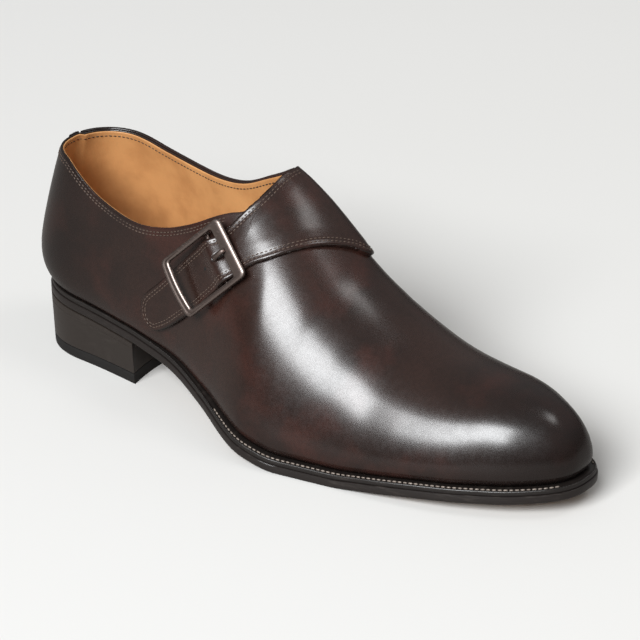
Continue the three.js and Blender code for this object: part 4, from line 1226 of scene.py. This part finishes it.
@dataclass
class QuarterStrap:
    """The inner quarter and the strap that grows out of it over the instep, in millimetres."""

    last: Last
    buckle: Buckle
    thick: float = 2.4
    rows: int = 56
    round_off: float = 1.1
    rim: float = 0.45
    channel: tuple[float, float, float] = (0.16, 2.6, 1.0)  # depth, distance from the edge, width
    puff: tuple[float, float, float] = (0.22, 3.2, 9.0)  # height, distances from the edge it rises over
    dent: float = 0.6
    edge_shade: float = 0.75
    edge_reach: tuple[float, float] = (0.15, 1.0)  # the cut edge's darkness fades between these distances
    apex_zone: float = 8.0  # closer stations in the last stretch before the apex
    hole: tuple[float, float, float] = (-1.0, 0.0, 0.85)  # place in the buckle's frame, radius
    # sizes along and across the strap of the prong's slot, where the strap is dented and painted with the
    # slot's shade
    slot: tuple[float, float] = (2.3, 1.6)
    edge: Array = field(init=False)

    def __post_init__(self) -> None:
        """Draws the visible edge on the last."""
        path = self.edge_path()
        self.edge = self.last.point(path.x, path.way)

    @property
    def tip(self) -> float:
        """Station of the strap's tip."""
        return OUTER_STRAP.rows[0][0] * self.last.length

    @property
    def apex(self) -> float:
        """Station where the front edge crosses the crest."""
        return OUTER_STRAP.rows[-1][0] * self.last.length

    @property
    def nose(self) -> float:
        """Station of the front edge's foremost point."""
        return INNER_QUARTER.rows[-1][0] * self.last.length

    def edge_path(self) -> Path:
        """The edge from the inner foot over the instep, round the tip and up to the throat."""
        length, lines = self.last.length, self.last.lines
        rise = np.linspace(0.4 * length, self.nose - 2, 160)
        near = self.nose - 2 * (1 - np.linspace(0, 1, 24)[1:]) ** 2
        back = self.apex + (self.nose - self.apex) * (1 - np.linspace(0, 1, 24)[1:] ** 1.5)
        down = self.apex + (self.tip - self.apex) * eased(260, 1.5)
        up = self.tip + (self.last.throat - self.tip) * np.linspace(0, 1, 200)[1:] ** 1.6
        front = np.concatenate([rise, near])
        way = np.concatenate([
            lines["quarter_front"](front / length),
            np.maximum(lines["quarter_rear"](back / length), 0),
            -np.maximum(lines["strap_front"](down / length), 0),
            -np.maximum(lines["strap_rear"](up / length), 0),
        ])
        return Path(np.concatenate([front, back, down, up]), way)

    def edge_distance(self, points: Array) -> Array:
        """Distance of points on the last from the visible edge, in millimetres."""
        flat, batch = points.reshape(-1, 3), 1500
        away = [
            np.sqrt(((flat[k:k + batch, None] - self.edge[None]) ** 2).sum(-1)).min(1)
            for k in range(0, len(flat), batch)
        ]
        return np.concatenate(away).reshape(points.shape[:-1])

    def low(self, x: Array, way: Array) -> Array:
        """Inner offset of the overlay at places on the last."""
        rise = self.buckle.strap_rise(self.last.point(x, np.where(way == 0, -1e-9, way)))
        rise = np.where(way < 0, rise, 0.0)
        return self.last.gap + rise - self.last.sink(x, way)

    def full(self, x: Array, way: Array) -> Array:
        """Thickness of the overlay away from its edges."""
        step = smoothstep(np.abs(way), 0.05, 0.5)
        return np.where(way < 0, self.thick, self.thick + (self.last.quarter - self.thick) * step)

    def top(self, x: Array, way: Array) -> Array:
        """Outer offset: rounded at the edges, pressed in under the stitches and at the slot.

        Args:
            x: stations.
            way: ways.

        Returns:
            The offsets in millimetres.
        """
        points = self.last.point(x, way)
        away = self.edge_distance(points)
        t = np.clip(away / self.round_off, 0, 1)
        edge = 0.5 + 0.5 * np.sqrt(np.clip(1 - (1 - t) ** 2, 0, 1))
        depth, place, spread = self.channel
        channel = depth * np.exp(-(((away - place) / spread) ** 2))
        puff = self.puff[0] * smoothstep(away, self.puff[1], self.puff[2])
        dent = self.dent * self.slot_mask(points)
        return self.low(x, way) + self.full(x, way) * edge - channel + puff - dent

    def shade(self, x: Array, way: Array) -> Array:
        """Darkness of the inked cut edge, and painted shade in the prong's slot."""
        points = self.last.point(x, way)
        edge = self.edge_shade * (1 - smoothstep(self.edge_distance(points), *self.edge_reach))
        return np.maximum(edge, self.slot_mask(points))

    def slot_mask(self, points: Array) -> Array:
        """A soft spot at the slot that the prong comes out of, 1 in it and 0 away from it; it dents the strap
        and places the slot's painted shade.
        """
        local = self.buckle.local(points)
        along = (local[..., 0] - self.buckle.pivot_at - self.slot[0] * 0.8) / self.slot[0]
        away = np.hypot(along, local[..., 1] / self.slot[1])
        return np.where(points[..., 1] < 0, 1 - smoothstep(away, 0.7, 1.1), 0.0)

    def hole_piece(self, wardrobe: Wardrobe) -> Piece:
        """The spare hole, as a shallow black lens in the strap: painted shade where the hole's dark inside
        would show.
        """
        u, v, radius = self.hole
        angles = np.linspace(0, 2 * math.pi, 25)
        radii = radius * np.array([0.0, 0.5, 0.85, 1.0])
        flat = np.zeros((4, 25, 3))
        flat[..., 0] = u + radii[:, None] * np.cos(angles)
        flat[..., 1] = v + radii[:, None] * np.sin(angles)
        x = np.full((4, 25), self.buckle.at * self.last.length)
        x, way = self.last.moved(x, np.full((4, 25), -self.buckle.share), self.buckle.world(flat))
        face, under = (self.last.skin(x, way, self.top(x, way) + lift) for lift in (0.05, -0.3))
        shell = Shell()
        for grid in (face, under, np.stack([face[-1], under[-1]])):
            shell.grid(grid)
        # the black heel rubber stands in for the shade inside the hole
        return shell.build("spare_hole_painted_shade", wardrobe[Finish.RUBBER], 40.0)

    def piece(self, wardrobe: Wardrobe) -> Piece:
        """Builds the quarter and strap as one sheet.

        Args:
            wardrobe: the materials.

        Returns:
            The piece.
        """
        last, lines, throat, apex = self.last, self.last.lines, self.last.throat, self.apex
        wall, shell = Wall(last, self.top, self.low), Shell()
        near = apex - self.apex_zone
        shared = np.concatenate([
            np.linspace(throat, near, 34), apex - self.apex_zone * (1 - np.linspace(0, 1, 22)[1:]) ** 1.6
        ])

        def joined(x: Array) -> Array:
            """The steps where the two sides meet on the crest."""
            return (x[:-1] > throat - 1e-6) & (x[:-1] < apex - 1e-6)

        # The outer side: the strap, with closer stations at its tip and at the throat
        t = np.linspace(0, 1, 120, endpoint=False)
        x = np.concatenate([self.tip + (throat - self.tip) * t ** 1.45, shared])
        x = np.unique(np.concatenate([x, throat - (throat - x[60]) * (1 - t[::8]) ** 2]))
        rows = (1 - np.cos(np.linspace(0, math.pi, self.rows))) / 2 * 0.55
        rows = rows + np.linspace(0, 1, self.rows) * 0.45
        low = -np.maximum(lines["strap_front"](x / last.length), 0)
        high = -np.where(x >= throat, 0, np.maximum(lines["strap_rear"](x / last.length), 0))
        wall.add(shell, x, low, high, rows, None, joined(x), self.shade)
        # The inner side: the quarter, from the back seam to the front edge's nose
        back = last.stations(26, 62, 70)
        back = back[(back > last.quarter_start) & (back < throat - 1e-6)]
        x = np.concatenate([
            [last.quarter_start], back, shared, apex + (self.nose - apex) * eased(16, 1.6)
        ])
        rear = np.maximum(lines["quarter_rear"](x / last.length), 0)
        end = np.where(x > apex + 1e-6, rear, last.collar_way(x, 1.0))
        bulge = self.rim * smoothstep(throat - x, 0.0, last.throat_fade)
        end = last.below(x, 1.0, end, bulge)
        front = np.maximum(lines["quarter_front"](x / last.length), end)
        rows = np.linspace(0, 1, self.rows)
        wall.add(shell, x, front, end, rows, bulge, joined(x), self.shade)
        wall.close(shell, last.quarter_start, float(front[0]), float(end[0]), rows)
        return shell.build("quarter_and_strap", wardrobe[Finish.UPPER], 55.0)


@dataclass
class Bottom:
    """Outsole, welt, sock, heel stack and top piece, in millimetres."""

    last: Last
    welt_width: float = 9.0
    welt_setback: float = 0.6
    wall: float = 1.9
    insole: float = 2.6
    heel_length: float = 71.0
    breast_hollow: float = 4.0
    top_piece: float = 5.5
    heel_taper: float = 0.9
    face_inset: float = 3.3
    seat_line: tuple[float, float] = (0.84, 0.2)  # share of the stack's height, depth
    stations: Array = field(init=False)

    def __post_init__(self) -> None:
        """Spaces the stations along the outline."""
        self.stations = self.last.stations(30, 40, 44)

    def over(self, height: float) -> Height:
        """A surface at a height over the outsole's underside."""
        return lambda x: self.last.sole_rise(x) + height

    def slab(self, shell: Shell, layers: list[tuple[object, Height]], closed: bool = True) -> None:
        """Adds a slab that follows the outline.

        Args:
            shell: gathers the faces.
            layers: inset and height of each layer, from the bottom up.
            closed: false leaves out the top and bottom faces.
        """
        sides = []
        for side in (-1.0, 1.0):
            rings = []
            for inset, height in layers:
                amount = inset(self.stations, side) if callable(inset) else inset
                x, y = self.last.inset(self.stations, side, amount)
                rings.append(np.stack([x, y, height(x)], -1))
            sides.append(np.stack(rings))
            shell.grid(sides[-1], side > 0)
        if closed:
            share = np.linspace(0, 1, 13)[None, :, None]
            for layer in (0, -1):
                across = sides[0][layer][:, None] * (1 - share) + sides[1][layer][:, None] * share
                shell.grid(across, layer == 0)

    def outsole_pieces(self, wardrobe: Wardrobe) -> list[Piece]:
        """The outsole with its bevelled edge, and the natural leather face under it."""
        thick, inset = self.last.outsole, self.face_inset
        profile = [
            (3.2, 0.35), (3.0, 0.0), (0.95, 0.0), (0.55, 0.12), (0.2, 0.45), (0.02, 0.85), (0.0, 1.3),
            (0.0, thick - 0.6), (0.12, thick - 0.2), (0.4, thick - 0.02), (1.2, thick),
        ]
        shell = Shell()
        self.slab(shell, [(amount, self.over(height)) for amount, height in profile])
        sole = shell.build("outsole_leather", wardrobe[Finish.SOLE_EDGE], 40.0)
        profile = [(inset + 0.2, 0.06), (inset, 0.12), (inset, 0.6)]
        shell = Shell()
        self.slab(shell, [(amount, self.over(height)) for amount, height in profile])
        return [sole, shell.build("outsole_face", wardrobe[Finish.SOLE_FACE], 40.0)]

    def welt_piece(self, wardrobe: Wardrobe) -> Piece:
        """The welt's ring, with a rounded rim and a shallow channel for its stitches."""
        base, thick, width = self.last.outsole + self.last.gap, self.last.welt, self.welt_width
        profile = [
            (0.35, -0.25), (0.05, 0.0), (0.0, 0.35), (0.0, thick - 0.55), (0.12, thick - 0.18),
            (0.4, thick), (0.75, thick + 0.03), (1.05, thick - 0.14), (1.75, thick - 0.16), (2.1, thick),
            (3.0, thick + 0.02), (width, thick), (width, 0.0), (0.35, -0.25),
        ]
        shell = Shell()
        layers = [
            (self.welt_setback + amount, lambda x, h=height: self.last.sole_rise(x) + base + h)
            for amount, height in profile
        ]
        self.slab(shell, layers, closed=False)
        return shell.build("welt_ring", wardrobe[Finish.WELT], 42.0)

    def welt_run(self, inset: float, height: float, span: tuple[float, float], side: float) -> Run:
        """A line on top of the welt."""
        x = self.stations[(self.stations >= span[0]) & (self.stations <= span[1])]
        px, py = self.last.inset(x, side, inset)
        top = self.last.outsole + self.last.gap + self.last.welt
        points = np.stack([px, py, self.last.sole_rise(px) + top + height], -1)
        return points, np.tile([0.0, 0.0, 1.0], (len(points), 1))

    def sock_piece(self, wardrobe: Wardrobe) -> Piece:
        """The insole with its sock, which shows through the collar."""
        last, thick = self.last, self.insole
        base = last.outsole + last.gap
        top = base + last.welt + last.gap
        within = self.welt_setback + self.welt_width + last.gap

        def wide(more: float) -> Callable[[Array, float], Array]:
            """The inset inside the lining."""
            clear = self.wall + last.gap + more
            return lambda x, side: last.ledge(x) + clear + last.sink(x, side * np.ones_like(x))

        shell = Shell()
        self.slab(shell, [
            (within, self.over(base)), (within, self.over(top)), (wide(0.0), self.over(top)),
            (wide(0.0), self.over(top + thick - 0.7)), (wide(0.25), self.over(top + thick - 0.2)),
            (wide(0.9), self.over(top + thick)),
        ])
        return shell.build("sock_and_insole", wardrobe[Finish.SOCK], 45.0)

    def heel_loop(self, inset: float) -> Array:
        """The heel seen from above: rounded back, two sides and hollow breast.

        Args:
            inset: how far it is drawn in.

        Returns:
            The loop's points in the plane, the first one repeated at the end.
        """
        steps = 24
        turn = np.arange(steps + 1) / steps * math.pi / 2
        round_x = self.last.heel_round * (1 - np.cos(turn))
        x = np.concatenate([round_x, np.linspace(self.last.heel_round, self.heel_length, 10)[1:]])
        outer = np.stack(self.last.inset(x, -1.0, inset), -1)
        inner = np.stack(self.last.inset(x, 1.0, inset), -1)[1:]
        t = np.linspace(0, 1, steps + 1)[1:-1, None]
        breast = outer[-1] * (1 - t) + inner[-1] * t
        breast[:, 0] -= (self.breast_hollow * 4 * t * (1 - t))[:, 0]
        loop = np.concatenate([outer, breast, inner[::-1]])
        return np.concatenate([loop, loop[:1]])

    def heel_block(self, name: str, rings: list[tuple[float, Height]], material: Material) -> Piece:
        """A block through loops of one shape.

        Args:
            name: the piece's name.
            rings: inset and height of each loop, from the bottom up.
            material: its material.

        Returns:
            The piece.
        """
        flats = [(self.heel_loop(inset), height) for inset, height in rings]
        loops = [np.column_stack([flat, height(flat[:, 0])]) for flat, height in flats]
        shell = Shell()
        shell.grid(np.stack(loops))
        for loop in (loops[0], loops[-1]):
            middle = np.array([self.heel_length / 2, loop[:, 1].mean(), loop[:, 2].mean()])
            share = np.linspace(0, 1, 5)[:, None, None]
            shell.grid(loop[None] * (1 - share) + middle * share)
        return shell.build(name, material, 38.0)

    def heel_pieces(self, wardrobe: Wardrobe) -> list[Piece]:
        """The stack with its seat line, and the rubber top piece.

        Args:
            wardrobe: the materials.

        Returns:
            The two pieces.
        """
        pitch, top, gap = self.last.heel_pitch, self.top_piece, self.last.gap
        base = top + gap

        def taper(z: float) -> float:
            """The heel's inset at a height."""
            return self.heel_taper * (1 - z / pitch)

        def level(z: float) -> Height:
            """A level ring."""
            return lambda x: z + 0 * x

        def partway(share: float) -> Height:
            """A ring at a share of the stack's height."""
            return lambda x: base + (self.last.sole_rise(x) - gap - base) * share

        seat, depth = self.seat_line
        rings = [
            (taper(base) + 0.25, level(base)), (taper(base) + 0.05, level(base + 0.12)),
            (taper(base), level(base + 0.3)),
        ]
        for step, inset in ((-0.012, 0.0), (-0.004, depth), (0.004, depth), (0.012, 0.0)):
            rings.append((taper(base + (pitch - base) * (seat + step)) + inset, partway(seat + step)))
        rings += [
            (taper(pitch - 0.4), lambda x: self.last.sole_rise(x) - gap - 0.35),
            (taper(pitch) + 0.12, lambda x: self.last.sole_rise(x) - gap - 0.1),
            (taper(pitch) + 0.4, lambda x: self.last.sole_rise(x) - gap),
        ]
        stack = self.heel_block("heel_lifts", rings, wardrobe[Finish.HEEL])
        lift = self.heel_block("heel_rubber", [
            (taper(0) + 0.6, level(0)), (taper(0) + 0.15, level(0.2)), (taper(0), level(0.7)),
            (taper(top), level(top - 0.35)), (taper(top) + 0.08, level(top - 0.1)),
            (taper(top) + 0.3, level(top)),
        ], wardrobe[Finish.RUBBER])
        return [stack, lift]


@dataclass
class Seams:
    """All the visible stitch rows; distances are in millimetres."""

    last: Last
    upper: Upper
    strap: QuarterStrap
    bottom: Bottom
    stitcher: Stitcher
    stitch: Stitch = Stitch()
    welt_stitch: Stitch = Stitch(2.5, 2.15, 0.85, 0.75)
    welt_ridge: Stitch = Stitch(1.25, 0.7, 0.9, 0.45)
    proud: float = 0.06
    strap_rows: tuple[float, ...] = (2.0, 3.5)
    collar_rows: tuple[float, ...] = (2.3, 3.8)
    lining_row: float = 3.0
    # Station and height of the stay's two ends on the inner side, and the distance of its two rows
    stay: tuple[tuple[float, float], tuple[float, float]] = ((128.6, 51.2), (142.9, 46.7))
    stay_rows: tuple[float, ...] = (0.0, 1.6)
    # Distance in from the edge and height of the welt's two rows, and the shares of the length they span
    stitch_row: tuple[float, float] = (2.0, 0.12)
    ridge_row: tuple[float, float] = (1.15, -0.02)
    stitch_span: tuple[float, float] = (0.44, 0.985)
    ridge_span: tuple[float, float] = (0.27, 1.0)

    def on_strap(self, x: Array, way: Array) -> Array:
        """Offset of stitches on the quarter and strap."""
        return self.strap.top(x, way) + self.proud

    def on_upper(self, x: Array, way: Array) -> Array:
        """Offset of stitches on the upper."""
        return self.proud - self.last.sink(x, way)

    def strap_runs(self) -> list[Run]:
        """The double row inside the quarter's and the strap's edge."""
        edge = self.strap.edge_path()
        edge = edge.cut(~((edge.way > 0.78) & (edge.x < 0.48 * self.last.length)))
        paths = [edge.inset(self.last, amount).smoothed() for amount in self.strap_rows]
        return [path.lifted(self.last, self.on_strap) for path in paths]

    def collar_runs(self) -> list[Run]:
        """The double row under the collar on both sides."""
        runs, start = [], self.last.quarter_start + 0.6
        for drop in self.collar_rows:
            outer = self.upper.collar_path(-1.0, 0.02, 0.4 * self.last.length, drop)
            inner = self.upper.collar_path(1.0, start, self.last.throat - 1.5, drop)
            runs += [outer.lifted(self.last, self.on_upper), inner.lifted(self.last, self.on_strap)]
        return runs

    def lining_runs(self) -> list[Run]:
        """The row that shows on the lining inside."""
        runs, depth = [], self.upper.leather + self.upper.lining + 0.05
        for side in (-1.0, 1.0):
            path = self.upper.collar_path(side, 0.02, self.last.throat - 1.0, self.lining_row)
            points, ups = path.lifted(self.last, lambda x, way: -depth - self.last.sink(x, way))
            runs.append((points, -ups))
        return runs

    def stay_runs(self) -> list[Run]:
        """The short double stay at the foot of the quarter's front edge."""
        start, stop = (np.array(end) for end in self.stay)
        share, runs = np.linspace(0, 1, 24), []
        for shift in self.stay_rows:
            x = start[0] + (stop[0] - start[0]) * share
            height = start[1] + (stop[1] - start[1]) * share - shift
            way = np.full_like(x, 0.6)
            for _ in range(40):
                way = np.clip(way + (self.last.point(x, way)[:, 2] - height) * 0.006, 0.05, 0.98)
            runs.append(Path(x, way).lifted(self.last, self.on_strap))
        return runs

    def pieces(self, wardrobe: Wardrobe) -> list[Piece]:
        """Sews every row with the materials' threads."""
        stitched, ridged = (
            tuple(share * self.last.length for share in span) for span in (self.stitch_span, self.ridge_span)
        )
        welt = [self.bottom.welt_run(*self.stitch_row, stitched, side) for side in (-1.0, 1.0)]
        ridges = [self.bottom.welt_run(*self.ridge_row, ridged, side) for side in (-1.0, 1.0)]
        rows = [
            ("strap_stitches", self.strap_runs() + self.stay_runs(), Finish.THREAD, self.stitch),
            ("collar_stitches", self.collar_runs(), Finish.THREAD, self.stitch),
            ("lining_stitches", self.lining_runs(), Finish.LINING_THREAD, self.stitch),
            ("welt_stitches", welt, Finish.WELT_THREAD, self.welt_stitch),
            ("welt_ridges", ridges, Finish.WELT, self.welt_ridge),
        ]
        return [self.stitcher.sew(name, runs, wardrobe[finish], size) for name, runs, finish, size in rows]


@dataclass
class BackStrip:
    """The narrow strip over the back seam, below the collar, in millimetres."""

    last: Last
    half_width: float = 4.2
    drop: float = 24.0
    thick: float = 0.75
    rim: float = 0.5

    def piece(self, wardrobe: Wardrobe) -> Piece:
        """Builds the strip from the materials."""
        power, half = self.last.heel_power, self.last.heel_width / 2
        width = np.linspace(0, self.half_width, 9)
        x = self.last.heel_round * (1 - np.power(1 - np.power(width / half, power), 1 / power))

        def outer(stations: Array, way: Array) -> Array:
            """The strip's face, thinner towards its side edges."""
            share = np.clip(stations / x[-1], 0, 1)
            return 0.1 + self.thick * (1 - 0.5 * share ** 3)

        shell = Shell()
        wall = Wall(self.last, outer, lambda stations, way: -0.1 - self.last.sink(stations, way))
        rows = np.linspace(0, 1, 24)
        for side in (-1.0, 1.0):
            end = self.last.collar_way(x, side)
            taper = self.drop * (1 - 0.12 * (width / self.half_width) ** 2)
            high = self.last.below(x, side, end, self.rim)
            low = self.last.below(x, side, end, taper)
            wall.add(shell, x, side * low, side * high, rows, np.full(len(x), self.rim))
            wall.close(shell, float(x[-1]), float(side * low[-1]), float(side * high[-1]), rows)
        return shell.build("back_strip", wardrobe[Finish.UPPER], 50.0)


@dataclass(frozen=True)
class Softbox:
    """An area light that faces the shoe: direction in degrees from +X, distance and size in metres."""

    name: str
    azimuth: float
    elevation: float
    away: float
    size: tuple[float, float]
    power: float
    tint: Colour

    def hang(self) -> None:
        """Hangs the light."""
        a, e = math.radians(self.azimuth), math.radians(self.elevation)
        direction = Vector((math.cos(a) * math.cos(e), math.sin(a) * math.cos(e), math.sin(e)))
        data = bpy.data.lights.new(self.name, "AREA")
        data.shape = "RECTANGLE"
        data.size, data.size_y = self.size
        data.energy = self.power
        data.color = self.tint
        light = add_object(self.name, data)
        light.location = direction * self.away
        light.rotation_euler = direction.to_track_quat("Z", "Y").to_euler()


@dataclass
class Studio:
    """The pale floor, the soft lights and the camera at the photo's angle."""

    stand: tuple[float, float, float] = (840.4, -862.9, 597.8)  # camera's place, in the last's millimetres
    azimuth: float = 37.0041
    elevation: float = 24.6369
    focal: float = 2310.74  # focal length in the photo's pixels
    frame_size: int = 640
    sensor: float = 36.0
    zoom: float = 1.15
    centre: tuple[float, float] = (274.0, 396.0)  # the photo's pixel that the camera looks through
    floor_half: float = 6.0
    floor_clouds: float = 1.3  # features in a metre
    floor_lift: tuple[float, ...] = (-0.3, 2.2, 1.0, 1.32)  # from this y to that one, the tone grows so
    floor_tones: tuple[Colour, Colour] = ((0.745, 0.736, 0.715), (0.76, 0.752, 0.735))
    floor_unseen: Colour = (0.25, 0.235, 0.22)
    room_low: Colour = (0.3, 0.29, 0.28)
    room_high: Colour = (1.0, 0.99, 0.98)
    room_seen: Colour = (2.4, 2.38, 2.34)
    room_strength: float = 0.27
    lights: tuple[Softbox, ...] = (
        Softbox("window_light", -80.0, 37.5, 5.0, (3.0, 2.05), 390.0, (0.965, 0.985, 1.0)),
        Softbox("back_light", 30.0, 61.0, 2.6, (0.8, 0.55), 6.0, (1.0, 0.99, 0.98)),
    )

    def camera(self) -> None:
        """Stands the camera where the photo was taken from and frames the one shoe."""
        a, e = math.radians(self.azimuth), math.radians(self.elevation)
        back = Vector((math.sin(a) * math.cos(e), -math.cos(a) * math.cos(e), math.sin(e)))
        right = Vector((math.cos(a), math.sin(a), 0.0))
        px, py = ((value - self.frame_size / 2) / self.focal for value in self.centre)
        sight = (right * px - back.cross(right) * py - back).normalized()
        data = bpy.data.cameras.new("camera")
        data.sensor_width = self.sensor
        data.lens = self.focal * self.zoom * self.sensor / self.frame_size
        data.clip_start = 0.05
        camera = add_object("camera", data)
        turned = sight.to_track_quat("-Z", "Y").to_matrix().to_4x4()
        camera.matrix_world = Matrix.Translation(Vector(placed(np.array(self.stand)))) @ turned
        bpy.context.scene.camera = camera

    def floor(self) -> None:
        """Lays the pale floor, dimmer for light that bounces off it."""
        mesh = bpy.data.meshes.new("floor")
        half = self.floor_half
        corners = [(-half, -half, 0), (half, -half, 0), (half, half, 0), (-half, half, 0)]
        mesh.from_pydata(corners, [], [(0, 1, 2, 3)])
        surface = Surface("pale_floor")
        graph = surface.graph
        place = graph.place()
        tone = graph.band(graph.noise(place, self.floor_clouds), 0.3, 0.7)
        across = graph.add("ShaderNodeSeparateXYZ", {0: place}).outputs["Y"]
        away = graph.band(across, *self.floor_lift)
        seen = graph.add("ShaderNodeLightPath").outputs["Is Camera Ray"]
        colour = graph.mix(tone, *(rgba(shade) for shade in self.floor_tones))
        lift = graph.add("ShaderNodeVectorMath", {0: colour, 3: away}, operation="SCALE").outputs[0]
        colour = graph.mix(seen, rgba(self.floor_unseen), lift)
        mesh.materials.append(surface.finish(Base_Color=colour, Roughness=0.7))
        add_object("floor", mesh)

    def world(self) -> None:
        """Fills the room with a soft light, dimmer at the horizon."""
        world = bpy.data.worlds.new("room")
        world.use_nodes = True
        graph = Graph(world.node_tree)
        place = graph.add("ShaderNodeTexCoord").outputs["Generated"]
        rise = graph.band(graph.add("ShaderNodeSeparateXYZ", {0: place}).outputs["Z"], 0.0, 0.6)
        colour = graph.mix(rise, rgba(self.room_low), rgba(self.room_high))
        seen = graph.add("ShaderNodeLightPath").outputs["Is Camera Ray"]
        shader = world.node_tree.nodes["Background"]
        graph.feed(shader.inputs["Color"], graph.mix(seen, colour, rgba(self.room_seen)))
        shader.inputs["Strength"].default_value = self.room_strength
        bpy.context.scene.world = world

    def build(self) -> None:
        """Builds the whole studio."""
        bpy.context.scene.view_settings.view_transform = "Standard"
        self.camera()
        self.floor()
        self.world()
        for light in self.lights:
            light.hang()


def deliver(piece: Piece, slot: str, *nodes: str) -> None:
    """Puts a finished piece in the frame."""
    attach(piece, "root")
    if nodes:
        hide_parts(*nodes)


def main() -> None:
    """Builds the shoe's looks in order."""
    logging.basicConfig(level=logging.INFO, format="%(name)s %(message)s")
    Studio().build()
    wardrobe = Wardrobe()
    last = Last()
    buckle = Buckle(last)
    upper = Upper(last)
    strap = QuarterStrap(last, buckle)
    bottom = Bottom(last)
    leather, lining = upper.pieces(wardrobe)
    deliver(leather, "upper_leather", "upper")
    deliver(lining, "insole_leather")
    deliver(strap.piece(wardrobe), "upper_leather", "quarter_strap")
    deliver(strap.hole_piece(wardrobe), "upper_leather")
    sole, face = bottom.outsole_pieces(wardrobe)
    deliver(sole, "sole_leather", "outsole")
    deliver(face, "sole_leather")
    deliver(bottom.welt_piece(wardrobe), "sole_leather", "welt")
    deliver(bottom.sock_piece(wardrobe), "insole_leather", "insole")
    stack, lift = bottom.heel_pieces(wardrobe)
    deliver(stack, "sole_leather", "heel_stack")
    deliver(lift, "heel_rubber", "heel_top_piece")
    deliver(buckle.frame_piece(wardrobe), "buckle_metal", "buckle_frame")
    deliver(buckle.prong_piece(wardrobe), "buckle_metal", "buckle_prong")
    deliver(BackStrip(last).piece(wardrobe), "upper_leather")
    for piece in Seams(last, upper, strap, bottom, Stitcher()).pieces(wardrobe):
        deliver(piece, "sole_leather" if piece.name.startswith("welt") else "upper_leather")


if __name__ == "__main__":
    main()
